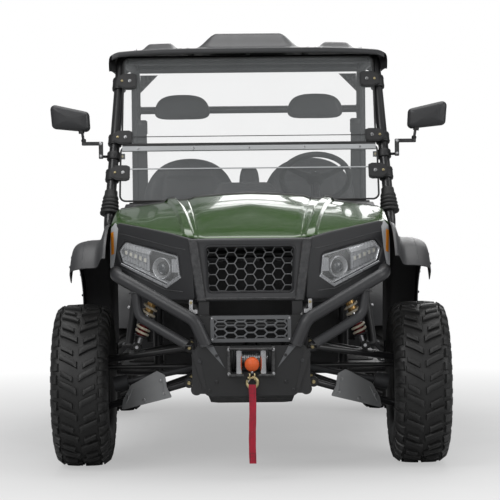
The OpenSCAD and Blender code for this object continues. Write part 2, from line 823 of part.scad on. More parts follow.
module cargo_bed() color("#35551f") {
    difference() {
        union() {
            difference() {
                block([-bed_w / 2, bed_front, bed_floor_z], [bed_w / 2, bed_back, bed_top]);
                block([-bed_w / 2 + bed_t, bed_front + bed_t, bed_floor_z + bed_floor_t],
                    [bed_w / 2 - bed_t, bed_back + 1, bed_top + 1]);
            }
            // Lugs round the tipping pivot
            both()
                block([bed_rail_x + bed_rail_w / 2 + 6, bed_pivot.y - 26, bed_pivot.z - 26],
                    [bed_rail_x + bed_rail_w / 2 + 18, bed_pivot.y + 26, bed_floor_z + 4]);
        }
        rod([-400, bed_pivot.y, bed_pivot.z], [400, bed_pivot.y, bed_pivot.z],
            bed_pivot_d + 2 * shaft_gap);
    }
    // Pins that the tailgate turns on, each held by two lugs
    both() {
        rod([gate_lug_x - 40, gate_hinge.y, gate_hinge.z], [gate_lug_x + 40, gate_hinge.y, gate_hinge.z],
            gate_pin_d);
        for (x = [gate_lug_x - 40, gate_lug_x + 31])
            block([x, bed_back - 10, gate_hinge.z - 8], [x + 9, gate_hinge.y + 8, gate_hinge.z + 8]);
    }
}

module tailgate() color("#35551f") {
    difference() {
        union() {
            block([-bed_w / 2, rear_end - gate_t, gate_hinge.z + 14], [bed_w / 2, rear_end, bed_top]);
            both()
                block([gate_lug_x - 30, gate_hinge.y - 10, gate_hinge.z - 10],
                    [gate_lug_x + 30, gate_hinge.y + 10, gate_hinge.z + 16]);
        }
        rod([-500, gate_hinge.y, gate_hinge.z], [500, gate_hinge.y, gate_hinge.z],
            gate_pin_d + 2 * shaft_gap);
    }
}

module tail_lights() color("#7a1010") {
    both()
        block([330, tail_bar.y + 15 + seat_gap, tail_bar.z - 38],
            [440, tail_bar.y + 43, tail_bar.z + 38]);
}

// ---- Engine and drive ----

engine_front = cab_rear + 50;
engine_rear = rear_axle - 50;
engine_low = rail_z + cross_d / 2 + seat_gap;
muffler_y = rear_axle + 240;
muffler_z = 560;
case_x = 80;
shaft_in_z = 422;
shaft_d = 26;
boot_d = 64;

module engine() color("#55585b") {
    block([-rail_x + 25, engine_front, engine_low], [rail_x - 25, engine_rear, 675]);
    block([-case_x, engine_rear - 1, engine_low], [case_x, rear_axle + 60, 500]);
}

module muffler() color("#6a6c6e") {
    rod([-178, muffler_y, muffler_z], [178, muffler_y, muffler_z], 150);
    both()
        block([170, muffler_y - 15, rail_top + seat_gap], [220, muffler_y + 15, muffler_z + 10]);
    rod([60, engine_rear + 2.6, 620], [60, muffler_y, 590], 42);
    rod([110, muffler_y, muffler_z - 20], [110, bed_pivot.y - 30, muffler_z - 30], 44);
}

// A half shaft with a boot on each joint
module half_shaft(axle, outer_x) {
    inner = [case_x + 7, axle, shaft_in_z];
    outer = [outer_x, axle, axle_z];
    rod(inner, outer, shaft_d);
    rod(inner, mix(inner, outer, 0.13), boot_d);
    rod(mix(inner, outer, 0.88), outer, boot_d);
}

module drive_line() color("#26282a") {
    both() {
        half_shaft(front_axle, kingpin_x - 66);
        half_shaft(rear_axle, rear_carrier_x - 7);
    }
    block([-case_x, front_axle - 80, engine_low], [case_x, front_axle + 40, prop_z + 34]);
    rod([0, front_axle + 39, prop_z], [0, engine_front - seat_gap, prop_z], prop_d);
}

// ---- Suspension ----

arm_d = 26;
bush_d = 30;
low_bush_x = rail_x + rail_d / 2 + bush_d / 2 + seat_gap;
high_bush_x = rail_x + cross_d / 2 + bush_d / 2 + seat_gap;
high_bush_z = 485;
joint_h = 104;
joint_face = 80;
joint_d = 34;
rear_carrier_x = wheel_x - 100;
shock_x = 462;
shock_foot_t = 8;
shock_eye_d = 35.4;

// A wishbone from two bushings to its outer end
module wishbone(inner_x, inner_z, outer, axle) {
    for (side = [-arm_spread, arm_spread]) {
        rod([inner_x, axle + side - 20, inner_z], [inner_x, axle + side + 20, inner_z], bush_d);
        rod([inner_x, axle + side, inner_z], outer, arm_d);
    }
}
// The height of an upper arm's centre line at x
function upper_arm_z(x, outer) = mix(high_bush_z, outer.z, (x - high_bush_x) / (outer.x - high_bush_x));
front_upper_end = [kingpin_x - 12, front_axle, axle_z + 97];
front_lower_end = [kingpin_x - 12, front_axle, axle_z - 97];
rear_upper_end = [rear_carrier_x, rear_axle, axle_z + 84];
rear_lower_end = [rear_carrier_x, rear_axle, axle_z - 84];
function foot_top(outer) = upper_arm_z(shock_x, outer) + 12;

// The plate across an upper arm that the shock absorber stands on
module shock_foot(outer) {
    spread = arm_spread * (outer.x - shock_x) / (outer.x - high_bush_x);
    block([shock_x - 30, outer.y - spread - 6, foot_top(outer) - shock_foot_t],
        [shock_x + 30, outer.y + spread + 6, foot_top(outer)]);
}

module front_arms() color("#171717") {
    both() {
        wishbone(high_bush_x, high_bush_z, front_upper_end, front_axle);
        wishbone(low_bush_x, rail_z, front_lower_end, front_axle);
        for (z = [axle_z + joint_face, axle_z - joint_h])
            translate([kingpin_x, front_axle, z])
                cylinder(d = joint_d, h = joint_h - joint_face);
        shock_foot(front_upper_end);
    }
}

module rear_arms() color("#171717") {
    both() {
        wishbone(high_bush_x, high_bush_z, rear_upper_end, rear_axle);
        wishbone(low_bush_x, rail_z, rear_lower_end, rear_axle);
        block([rear_carrier_x, rear_axle - 32, axle_z - 98],
            [rear_carrier_x + 26, rear_axle + 32, axle_z + 98]);
        rod([rear_carrier_x + 10, rear_axle, axle_z], [wheel_x + hub_out - 8, rear_axle, axle_z],
            spindle_d);
        rod([rear_carrier_x + 10, rear_axle, axle_z], [wheel_x - hub_in - joint_gap, rear_axle, axle_z],
            56);
        shock_foot(rear_upper_end);
    }
}

// The aluminium guards along the front of the lower front arms
guard_outline = [[372, 390], [340, 374], [332, 326], [312, 286], [520, 228], [512, 270], [480, 330]];
guard_t = 4;

module arm_guards() color("#9a9c99") {
    turn = atan2(arm_spread, front_lower_end.x - low_bush_x);
    both()
        translate([low_bush_x, front_axle - arm_spread, 0])
            rotate(turn)
                front_plate(-arm_d / 2 - seat_gap - guard_t, guard_t)
                    polygon([for (p = guard_outline) [(p.x - low_bush_x) / cos(turn), p.y]]);
}

// A coil-over shock absorber, as its outer shape, between the eyes at its ends
module shock(low, top) {
    for (p = [low, top])
        rod(p - [0, 20, 0], p + [0, 20, 0], shock_eye_d);
    rod(low, top, 24);
    rod(mix(low, top, 0.14), mix(low, top, 0.86), 62);
}
function shock_low(outer) = [shock_x, outer.y, foot_top(outer) + shock_eye_d / 2 + seat_gap];

module front_shocks() color("#d8cdb8") {
    both()
        shock(shock_low(front_upper_end), shock_top_front);
}

module rear_shocks() color("#d8cdb8") {
    both()
        shock(shock_low(rear_upper_end), shock_top_rear);
}

hub_in = 32;
hub_out = 66;

// An upright between the ball joints, with the spindle and the steering arm
module knuckle() {
    rod([kingpin_x, front_axle, axle_z - joint_face + joint_gap],
        [kingpin_x, front_axle, axle_z + joint_face - joint_gap], 30);
    rod([kingpin_x, front_axle, axle_z], [wheel_x + hub_out - 8, front_axle, axle_z], spindle_d);
    rod([kingpin_x, front_axle, axle_z], [wheel_x - hub_in - joint_gap, front_axle, axle_z], 52);
    block([kingpin_x - 24, front_axle, tie_end_z - joint_gap - 14],
        [kingpin_x + 4, rack_y + 14, tie_end_z - joint_gap]);
}

module knuckle_left() color("#1f1f1f") {
    knuckle();
}

module knuckle_right() color("#1f1f1f") {
    mirror([1, 0, 0])
        knuckle();
}

receiver_w = 63;
receiver_in = 51;
receiver_l = 150;
receiver_z = rail_z - cross_d / 2 - receiver_w / 2 - seat_gap;
receiver_pin_d = 16;

module hitch_receiver() color("#1a1a1a") {
    difference() {
        block([-receiver_w / 2, rear_end - 20 - receiver_l, receiver_z - receiver_w / 2],
            [receiver_w / 2, rear_end - 20, receiver_z + receiver_w / 2]);
        block([-receiver_in / 2, rear_end - 21 - receiver_l, receiver_z - receiver_in / 2],
            [receiver_in / 2, rear_end, receiver_z + receiver_in / 2]);
        rod([-50, rear_end - 65, receiver_z], [50, rear_end - 65, receiver_z], receiver_pin_d);
    }
}

// ---- Wheels ----

bead_x = 83.5;
rim_x = 92;
rim_wall = 12;
tyre_n = 3.2;
disc_x = 44;

// Moves a wheel made on its own centre, its outer face towards +X, to its corner
module corner(axle, right) {
    mirror([right ? 1 : 0, 0, 0])
        translate([wheel_x, axle, axle_z])
            rotate([0, 90, 0])
                children();
}

module tyre(axle, right) color("#181818") {
    corner(axle, right)
        rotate_extrude($fn = 96)
            polygon(concat([[bead_d / 2, -bead_x], [bead_d / 2 + 13, -bead_x]],
                [for (t = [-78:12:78])
                    [bead_d / 2 + (tyre_d - bead_d) / 2 * squared_off(cos(t), tyre_n),
                        tyre_w / 2 * squared_off(sin(t), tyre_n)]],
                [[bead_d / 2 + 13, bead_x], [bead_d / 2, bead_x]]));
}

module rim(axle, right) color("#202122") {
    seat = bead_d / 2 - 0.2;
    corner(axle, right) {
        difference() {
            union() {
                rotate_extrude()
                    polygon([[seat - rim_wall, -rim_x], [seat + 10, -rim_x], [seat + 10, -bead_x - 0.5],
                        [seat, -bead_x - 0.5], [seat, bead_x + 0.5], [seat + 10, bead_x + 0.5],
                        [seat + 10, rim_x], [seat - rim_wall, rim_x]]);
                translate([0, 0, disc_x])
                    cylinder(r = seat - 1, h = 10);
                translate([0, 0, -hub_in])
                    cylinder(d = 88, h = hub_in + hub_out);
                translate([0, 0, -hub_in])
                    cylinder(d = 190, h = 5);
            }
            translate([0, 0, -hub_in - 1])
                cylinder(d = spindle_d + 2 * shaft_gap, h = hub_in + hub_out - 6);
            // Windows between the spokes
            for (a = [0:45:315])
                rotate(a)
                    translate([94, 0, disc_x - 1])
                        cylinder(d = 46, h = 12);
        }
    }
}

chassis_frame();
roll_cage();
floor_pan();
dashboard();
steering_column();
steering_wheel();
steering_rack();
hood();
front_fascia();
grille_mesh();
headlights();
front_fenders();
bumper_plate();
bumper_tubes();
winch_plate();
winch();
fairlead();
winch_hook();
hook_strap();
seat_base();
seat_cushions();
seat_backs();
headrests();
roof();
windshield();
windshield_clamps();
pillar_boots();
mirrors();
cargo_bed();
tailgate();
tail_lights();
rear_fenders();
engine();
muffler();
drive_line();
front_arms();
arm_guards();
front_shocks();
rear_arms();
rear_shocks();
knuckle_left();
knuckle_right();
hitch_receiver();
tyre(front_axle, false);  // tyre_front_left
tyre(front_axle, true);  // tyre_front_right
tyre(rear_axle, false);  // tyre_rear_left
tyre(rear_axle, true);  // tyre_rear_right
rim(front_axle, false);  // rim_front_left
rim(front_axle, true);  // rim_front_right
rim(rear_axle, false);  // rim_rear_left
rim(rear_axle, true);  // rim_rear_right
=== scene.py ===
import bmesh
import bpy
from math import acos, atan2, cos, degrees, exp, hypot, pi, radians, sin, sqrt, tan
from mathutils import Matrix, Quaternion, Vector
from mathutils.bvhtree import BVHTree
from mathutils.kdtree import KDTree


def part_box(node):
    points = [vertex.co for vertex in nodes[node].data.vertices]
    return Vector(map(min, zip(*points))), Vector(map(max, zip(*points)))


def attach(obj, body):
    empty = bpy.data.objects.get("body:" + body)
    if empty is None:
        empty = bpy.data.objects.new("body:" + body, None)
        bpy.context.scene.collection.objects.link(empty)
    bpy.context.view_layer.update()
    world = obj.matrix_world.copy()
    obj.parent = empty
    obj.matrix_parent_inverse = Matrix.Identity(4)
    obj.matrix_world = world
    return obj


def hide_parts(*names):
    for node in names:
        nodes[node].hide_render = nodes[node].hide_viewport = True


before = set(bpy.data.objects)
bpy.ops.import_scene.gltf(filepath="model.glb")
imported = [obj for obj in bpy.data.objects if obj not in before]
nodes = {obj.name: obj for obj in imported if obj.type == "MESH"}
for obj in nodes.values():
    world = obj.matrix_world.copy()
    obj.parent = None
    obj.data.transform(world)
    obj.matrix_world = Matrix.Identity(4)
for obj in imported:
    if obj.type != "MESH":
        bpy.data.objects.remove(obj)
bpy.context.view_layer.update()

scene = bpy.context.scene
V = Vector
DUST = (0.33, 0.31, 0.28, 1)
WHEEL_Z, TREAD_R = 0.3275, 0.322


# ---- Shapes ----


class Shape:
    """Points and faces of one piece, each face with its material."""

    def __init__(self):
        self.v, self.f, self.m, self.mats = [], [], [], []

    def add(self, verts, faces, mat):
        if mat not in self.mats:
            self.mats.append(mat)
        base, k = len(self.v), self.mats.index(mat)
        self.v += [tuple(p) for p in verts]
        self.f += [tuple(base + i for i in f) for f in faces]
        self.m += [k] * len(faces)
        return self

    def grid(self, rows, mat, round_u=False, round_v=False):
        """Faces between rows of points. round_u closes each row on itself, round_v the rows."""
        n, c = len(rows), len(rows[0])
        faces = [(i * c + j, i * c + (j + 1) % c, (i + 1) % n * c + (j + 1) % c, (i + 1) % n * c + j)
                 for i in range(n if round_v else n - 1) for j in range(c if round_u else c - 1)]
        return self.add([p for r in rows for p in r], faces, mat)

    def tube(self, path, r, mat, sides=12, caps=True, flat=None):
        """A tube along a path. r is one radius or one for each point, flat a second radius."""
        pts = [V(p) for p in path]
        n = len(pts)
        rs = r if isinstance(r, (list, tuple)) else [r] * n
        rows, up = [], None
        for i in range(n):
            t = (pts[min(i + 1, n - 1)] - pts[max(i - 1, 0)]).normalized()
            if up is None:
                up = V((0, 0, 1)) if abs(t.z) < 0.9 else V((0, 1, 0))
            up = (up - t * up.dot(t)).normalized()
            side = t.cross(up)
            k = (flat / r) if flat else 1
            rows.append([pts[i] + (side * cos(2 * pi * j / sides) + up * k * sin(2 * pi * j / sides)) * rs[i]
                         for j in range(sides)])
        self.grid(rows, mat, round_u=True)
        if caps:
            self.add(rows[0], [tuple(range(sides))], mat)
            self.add(rows[-1], [tuple(range(sides))[::-1]], mat)
        return self

    def lathe(self, profile, centre, axis, mat, steps=32):
        """A profile of (radius, distance along the axis) turned round the axis."""
        a = V(axis).normalized()
        u = a.orthogonal().normalized()
        w = a.cross(u)
        rows = [[V(centre) + a * h + (u * cos(2 * pi * j / steps) + w * sin(2 * pi * j / steps)) * r
                 for j in range(steps)] for r, h in profile]
        return self.grid(rows, mat, round_u=True)

    def bolt(self, at, axis, d, mat):
        """A washer with a hexagon head on it."""
        h, r = d * 0.55, d / 2
        self.lathe([(0, 0), (r * 1.25, 0), (r * 1.25, h * 0.25), (r, h * 0.3)], at, axis, mat, 20)
        self.lathe([(r, h * 0.25), (r, h * 0.85), (r * 0.85, h), (0, h)], at, axis, mat, 6)
        return self

    def box(self, one, other, mat, chamfer=0.0015):
        """A box between two opposite corners, its edges cut off. The two x may come in either order."""
        lo, hi = V((min(one[0], other[0]), *one[1:])), V((max(one[0], other[0]), *other[1:]))
        c = min(chamfer, min(hi - lo) * 0.3)
        v, ids = [], {}
        for sx in (0, 1):
            for sy in (0, 1):
                for sz in (0, 1):
                    for k in range(3):
                        p = [(lo, hi)[s][a] + (0 if a == k else (c, -c)[s]) for a,
                             s in enumerate((sx, sy, sz))]
                        ids[sx, sy, sz, k] = len(v)
                        v.append(p)
        f = []
        for k in range(3):
            a, b = (k + 1) % 3, (k + 2) % 3
            for s in (0, 1):
                q = []
                for sa, sb in ((0, 0), (1, 0), (1, 1), (0, 1)):
                    key = [0, 0, 0]
                    key[k], key[a], key[b] = s, sa, sb
                    q.append(ids[(*key, k)])
                f.append(tuple(q if s else q[::-1]))
            for sa in (0, 1):
                for sb in (0, 1):
                    q = []
                    for s, j in ((0, a), (1, a), (1, b), (0, b)):
                        key = [0, 0, 0]
                        key[k], key[a], key[b] = s, sa, sb
                        q.append(ids[(*key, j)])
                    f.append(tuple(q))
        for sx in (0, 1):
            for sy in (0, 1):
                for sz in (0, 1):
                    f.append(tuple(ids[sx, sy, sz, k] for k in range(3)))
        return self.add(v, f, mat)

    def prism(self, outline, place, t0, t1, mat):
        """An outline of (a, b) points made solid from t0 to t1. place turns (a, b, t) into a point."""
        n = len(outline)
        v = [place(a, b, t) for t in (t0, t1) for a, b in outline]
        f = [(i, (i + 1) % n, n + (i + 1) % n, n + i) for i in range(n)]
        f += [tuple(range(n))[::-1], tuple(range(n, 2 * n))]
        return self.add(v, f, mat)

    def frame(self, outer, inner, place, t0, t1, mat):
        """A plate between two outlines with the same number of points."""
        n = len(outer)
        v = [place(a, b, t) for t in (t0, t1) for ring in (outer, inner) for a, b in ring]
        f = []
        for i in range(n):
            j = (i + 1) % n
            f += [(i, j, n + j, n + i), (2 * n + i, 3 * n + i, 3 * n + j, 2 * n + j),
                  (i, 2 * n + i, 2 * n + j, j), (n + i, n + j, 3 * n + j, 3 * n + i)]
        return self.add(v, f, mat)

    def mirrored(self):
        """The shape and its mirror image across x = 0."""
        n, faces, kinds = len(self.v), list(self.f), list(self.m)
        self.v += [(-p[0], p[1], p[2]) for p in self.v]
        self.f += [tuple(n + i for i in f)[::-1] for f in faces]
        self.m += kinds
        return self

    def moved(self, turn):
        """The points carried by a function."""
        self.v = [tuple(turn(V(p))) for p in self.v]
        return self

    def join(self, other):
        for k, mat in enumerate(other.mats):
            faces = [f for f, m in zip(other.f, other.m) if m == k]
            used = sorted({i for f in faces for i in f})
            at = {i: j for j, i in enumerate(used)}
            self.add([other.v[i] for i in used], [tuple(at[i] for i in f) for f in faces], mat)
        return self


def make(name, shape, body, replaces=(), bevel=0.0, levels=0, angle=35, weld=True):
    """A piece from a shape: named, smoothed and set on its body."""
    mesh = bpy.data.meshes.new(name)
    mesh.from_pydata(shape.v, [], shape.f)
    for m in shape.mats:
        mesh.materials.append(m)
    mesh.polygons.foreach_set("material_index", shape.m)
    bm = bmesh.new()
    bm.from_mesh(mesh)
    if weld:
        bmesh.ops.remove_doubles(bm, verts=bm.verts, dist=0.00002)
    bmesh.ops.dissolve_degenerate(bm, edges=bm.edges, dist=0.000005)
    bmesh.ops.recalc_face_normals(bm, faces=bm.faces)
    for f in bm.faces:
        f.smooth = True
    for e in bm.edges:
        if len(e.link_faces) == 2 and e.calc_face_angle(0) > radians(angle):
            e.smooth = False
    bm.to_mesh(mesh)
    bm.free()
    obj = bpy.data.objects.new(name, mesh)
    scene.collection.objects.link(obj)
    if bevel:
        b = obj.modifiers.new("Edges", "BEVEL")
        b.width, b.segments, b.limit_method, b.angle_limit = bevel, 2, "ANGLE", radians(angle)
        b.harden_normals = True
    if levels:
        s = obj.modifiers.new("Smooth", "SUBSURF")
        s.levels = s.render_levels = levels
    if body:
        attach(obj, body)
    if replaces:
        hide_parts(*replaces)
    return obj


def mix(a, b, t):
    return a + (b - a) * t


def smoothstep(a, b, x):
    t = max(0.0, min(1.0, (x - a) / (b - a)))
    return t * t * (3 - 2 * t)


def rounded(points, r, n=5, closed=False):
    """A path with each corner bent to the radius r."""
    pts = [V(p) for p in points]
    out = []
    count = len(pts)
    for i, p in enumerate(pts):
        if not closed and i in (0, count - 1):
            out.append(p)
            continue
        a, b = pts[i - 1] - p, pts[(i + 1) % count] - p
        la, lb = a.length, b.length
        a, b = a / la, b / lb
        half = acos(max(-1, min(1, a.dot(b)))) / 2
        if half > 1.55:
            out.append(p)
            continue
        cut = min(r / tan(half), la * 0.49, lb * 0.49)
        rr = cut * tan(half)
        centre = p + (a + b).normalized() * rr / sin(half)
        u, w = p + a * cut - centre, p + b * cut - centre
        sweep = acos(max(-1, min(1, u.normalized().dot(w.normalized()))))
        for k in range(n + 1):
            t = k / n
            out.append(centre + (u * sin((1 - t) * sweep) + w * sin(t * sweep)) / sin(sweep))
    return out


def smooth_line(points, n=6):
    """A smooth curve through points."""
    pts = [V(p) for p in points]
    out = []
    for i in range(len(pts) - 1):
        p0, p1, p2 = pts[max(i - 1, 0)], pts[i], pts[i + 1]
        p3 = pts[min(i + 2, len(pts) - 1)]
        for k in range(n):
            t = k / n
            out.append(0.5 * (2 * p1 + (p2 - p0) * t + (2 * p0 - 5 * p1 + 4 * p2 - p3) * t * t
                              + (3 * p1 - p0 - 3 * p2 + p3) * t ** 3))
    out.append(pts[-1])
    return out


def lin(table, x):
    """A value read off a table of (x, value) pairs."""
    if x <= table[0][0]:
        return table[0][1]
    for (x0, y0), (x1, y1) in zip(table, table[1:]):
        if x <= x1:
            return mix(y0, y1, (x - x0) / (x1 - x0))
    return table[-1][1]


def front(a, b, t):
    """Places a front view outline, (x, z) and distance y."""
    return (a, t, b)


def side(a, b, t):
    """Places a side view outline, (y, z) and distance x."""
    return (t, a, b)


# ---- Materials ----


def start(name):
    m = bpy.data.materials.new(name)
    m.use_nodes = True
    return m, m.node_tree, m.node_tree.nodes["Principled BSDF"]


def plug(nt, n, values):
    """Sets a node's inputs, each from another node's output or a plain value."""
    for k, v in values.items():
        if isinstance(v, bpy.types.NodeSocket):
            nt.links.new(v, n.inputs[k])
        else:
            n.inputs[k].default_value = v


def node(nt, kind, *inputs, **values):
    """A node. Unnamed values go to its inputs in turn, named ones to an input or a setting."""
    n = nt.nodes.new(kind)
    named = {k: v for k, v in values.items() if k in n.inputs}
    for k, v in values.items():
        if k not in named:
            setattr(n, k, v)
    plug(nt, n, named)
    plug(nt, n, dict(enumerate(inputs)))
    return n


def coordinates(nt):
    return node(nt, "ShaderNodeTexCoord").outputs["Object"]


def noise(nt, coords, scale, detail=4, rough=0.55, stretch=None):
    if stretch:
        coords = node(nt, "ShaderNodeMapping", Vector=coords, Scale=stretch).outputs["Vector"]
    n = node(nt, "ShaderNodeTexNoise", Vector=coords, Scale=scale, Detail=detail, Roughness=rough)
    return n.outputs["Fac"]


def ramp(nt, fac, stops):
    r = node(nt, "ShaderNodeValToRGB", fac)
    while len(r.color_ramp.elements) < len(stops):
        r.color_ramp.elements.new(0.5)
    for e, (pos, col) in zip(r.color_ramp.elements, stops):
        e.position = pos
        e.color = (*col, 1) if hasattr(col, "__len__") else (col, col, col, 1)
    return r.outputs["Color"]


def product(nt, a, b):
    return node(nt, "ShaderNodeMath", a, b, operation="MULTIPLY").outputs[0]


def blend(nt, factor, a, b, kind="MIX"):
    n = node(nt, "ShaderNodeMix", data_type="RGBA", blend_type=kind)
    plug(nt, n, {"Factor": factor, "A": a, "B": b})
    return n.outputs["Result"]


def relief(nt, height, strength, distance):
    return node(nt, "ShaderNodeBump", Strength=strength, Distance=distance, Height=height).outputs["Normal"]


def tint(col, k):
    return tuple(min(1, c * k) for c in col)


def surface(name, col, rough=0.5, metal=0.0, grain=700, depth=0.2, spread=0.07, patch=3, coat=0.0,
            wear=None, stretch=None, dust=0.0, rough_spread=0.05, coat_rough=0.08):
    """A moulded, painted or metal surface: patchy colour and gloss, fine grain, worn edges, dust."""
    m, nt, b = start(name)
    tc = coordinates(nt)
    fine = noise(nt, tc, grain, 3, 0.6, stretch)
    colour = ramp(nt, noise(nt, tc, patch, 5, 0.6),
                  [(0.3, tint(col, 1 - spread)), (0.5, col), (0.72, tint(col, 1 + spread))])
    colour = blend(nt, 0.5, colour, ramp(nt, fine, [(0.3, 0.84), (0.7, 1.0)]), "MULTIPLY")
    geometry = node(nt, "ShaderNodeNewGeometry").outputs
    if dust:
        up = node(nt, "ShaderNodeSeparateXYZ", geometry["Normal"]).outputs["Z"]
        lying = product(nt, ramp(nt, up, [(0.35, 0.0), (1.0, 1.0)]),
                        ramp(nt, noise(nt, tc, 9, 6, 0.7), [(0.35, 0.15), (0.75, 1.0)]))
        colour = blend(nt, product(nt, lying, dust), colour, DUST)
    if wear:
        edge = product(nt, ramp(nt, geometry["Pointiness"], [(0.57, 0.0), (0.66, 1.0)]),
                       ramp(nt, noise(nt, tc, 60, 4, 0.7), [(0.4, 0.0), (0.6, 0.8)]))
        colour = blend(nt, edge, colour, (*wear, 1))
    gloss = ramp(nt, noise(nt, tc, patch * 9, 5, 0.65),
                 [(0.3, max(0.02, rough - rough_spread)), (0.7, min(1, rough + rough_spread))])
    plug(nt, b, {"Base Color": colour, "Roughness": gloss, "Metallic": metal, "Coat Weight": coat,
                 "Coat Roughness": coat_rough, "Specular IOR Level": 0.5,
                 "Normal": relief(nt, fine, depth, 0.0006)})
    return m


def glass(name, col, rough=0.03, alpha=0.2, haze=0.0):
    """Clear sheet with a faint smear in its gloss."""
    m, nt, b = start(name)
    tc = coordinates(nt)
    smear = noise(nt, tc, 7, 5, 0.7)
    plug(nt, b, {"Base Color": ramp(nt, smear, [(0.3, tint(col, 0.92)), (0.7, col)]),
                 "Roughness": ramp(nt, smear, [(0.3, rough), (0.75, rough + 0.08)]), "IOR": 1.49,
                 "Alpha": ramp(nt, noise(nt, tc, 3, 4, 0.6), [(0.2, alpha), (0.9, alpha + haze)])})
    return m


# ---- Camera ----

cam = bpy.data.objects.new("Camera", bpy.data.cameras.new("Camera"))
scene.collection.objects.link(cam)
scene.camera = cam
cam.data.lens, cam.data.sensor_width = 128.0, 36.0
cam.data.clip_end = 200
cam.location = (0.0, -8.19, 1.05)
cam.rotation_mode = "QUATERNION"
cam.rotation_quaternion = (Quaternion((1, 0, 0), radians(90 - 1.45)) @ Quaternion((0, 0, 1), radians(-0.6)))

# ---- Materials ----

BLACK_PAINT = surface("black_paint", (0.012, 0.012, 0.013), 0.36, grain=500, depth=0.12, coat=0.25, dust=0.04,
                      wear=(0.12, 0.12, 0.12))
PLATE_PAINT = surface("plate_paint", (0.0125, 0.0128, 0.0135), 0.42, grain=900, depth=0.3, dust=0.04,
                      wear=(0.15, 0.15, 0.15))
BLACK_PLASTIC = surface("black_plastic", (0.014, 0.014, 0.015), 0.5, grain=1100, depth=0.35, dust=0.04)
DASH_PLASTIC = surface("dash_plastic", (0.028, 0.028, 0.03), 0.55, grain=1300, depth=0.45, dust=0.04)
CHARCOAL = surface("charcoal_plastic", (0.034, 0.0345, 0.037), 0.44, grain=1000, depth=0.25, spread=0.05,
                   dust=0.04, wear=(0.16, 0.16, 0.16))
ROOF_PLASTIC = surface("roof_plastic", (0.036, 0.0365, 0.039), 0.4, grain=1000, depth=0.2, spread=0.05,
                       dust=0.04)
GREEN = surface("body_green", (0.032, 0.084, 0.012), 0.22, grain=120, depth=0.05, spread=0.07, coat=0.7,
                coat_rough=0.05, rough_spread=0.05)
MESH_BLACK = surface("mesh_black", (0.012, 0.012, 0.012), 0.45, grain=600, depth=0.2)
FRAME_GREY = surface("mesh_frame", (0.12, 0.124, 0.13), 0.42, grain=600, depth=0.15)
GREY_WIRE = surface("grille_wire", (0.15, 0.153, 0.158), 0.42, grain=600, depth=0.15)
GREY_TRIM = surface("grey_trim", (0.42, 0.43, 0.44), 0.4, grain=900, depth=0.15, spread=0.06)
STEEL = surface("steel", (0.5, 0.5, 0.51), 0.3, 1.0, grain=500, depth=0.25, stretch=(1, 1, 6))
CHROME = surface("polished_steel", (0.75, 0.75, 0.77), 0.14, 1.0, grain=300, depth=0.1, rough_spread=0.05,
                 stretch=(1, 1, 8))
ALUMINIUM = surface("guard_aluminium", (0.33, 0.335, 0.34), 0.4, 0.6, grain=400, depth=0.3,
                    stretch=(1, 1, 12))
ZINC = surface("zinc_gold", (0.55, 0.46, 0.26), 0.34, 1.0, grain=350, depth=0.3, spread=0.25, patch=25)
IRON = surface("cast_iron", (0.05, 0.051, 0.054), 0.55, 0.4, grain=350, depth=0.6, dust=0.04)
ENGINE_GREY = surface("engine_grey", (0.16, 0.163, 0.168), 0.5, 0.7, grain=300, depth=0.6, dust=0.04)
EXHAUST = surface("exhaust_steel", (0.33, 0.3, 0.27), 0.4, 1.0, grain=300, depth=0.3, spread=0.3, patch=9)
RUBBER = surface("rubber", (0.014, 0.014, 0.014), 0.62, grain=800, depth=0.3, dust=0.04)
TYRE = surface("tyre_rubber", (0.0095, 0.0094, 0.0093), 0.5, grain=500, depth=0.55, spread=0.1, patch=8,
               dust=0.04, wear=(0.05, 0.05, 0.05))
RIM_PAINT = surface("rim_paint", (0.022, 0.022, 0.023), 0.36, grain=500, depth=0.12, coat=0.3,
                    wear=(0.2, 0.2, 0.2))
SPRING = surface("spring_cream", (0.68, 0.61, 0.48), 0.33, grain=400, depth=0.15, coat=0.3,
                 wear=(0.3, 0.3, 0.3))
DAMPER = surface("damper_gold", (0.55, 0.34, 0.13), 0.3, 1.0, grain=400, depth=0.15)
DAMPER_RED = surface("damper_red", (0.13, 0.008, 0.01), 0.35, 0.6, grain=400, depth=0.15)
ORANGE = surface("orange_rubber", (0.78, 0.12, 0.018), 0.5, grain=600, depth=0.3, spread=0.1)
AMBER = surface("amber_lens", (0.72, 0.24, 0.02), 0.16, grain=180, depth=0.3, coat=0.8)
RED_LENS = surface("red_lens", (0.42, 0.01, 0.012), 0.16, grain=150, depth=0.35, coat=0.8)
SILVER = surface("silver_bezel", (0.62, 0.63, 0.65), 0.28, 0.6, grain=500, depth=0.1)
REFLECTOR = surface("reflector", (0.78, 0.79, 0.81), 0.24, 0.5, grain=90, depth=0.15, rough_spread=0.04)
DIAL = surface("dial_glass", (0.02, 0.026, 0.034), 0.12, grain=300, depth=0.05, coat=0.9)
WARM_LED = surface("lamp_cell", (0.86, 0.84, 0.74), 0.18, grain=200, depth=0.2, coat=0.8)
SCREEN = glass("clear_screen", (0.5, 0.52, 0.53), 0.03, 0.1, 0.03)
LENS = glass("lamp_lens", (0.93, 0.95, 0.96), 0.03, 0.16, 0.05)
MIRROR = surface("mirror_face", (0.8, 0.81, 0.82), 0.03, 1.0, grain=40, depth=0.02, rough_spread=0.01)


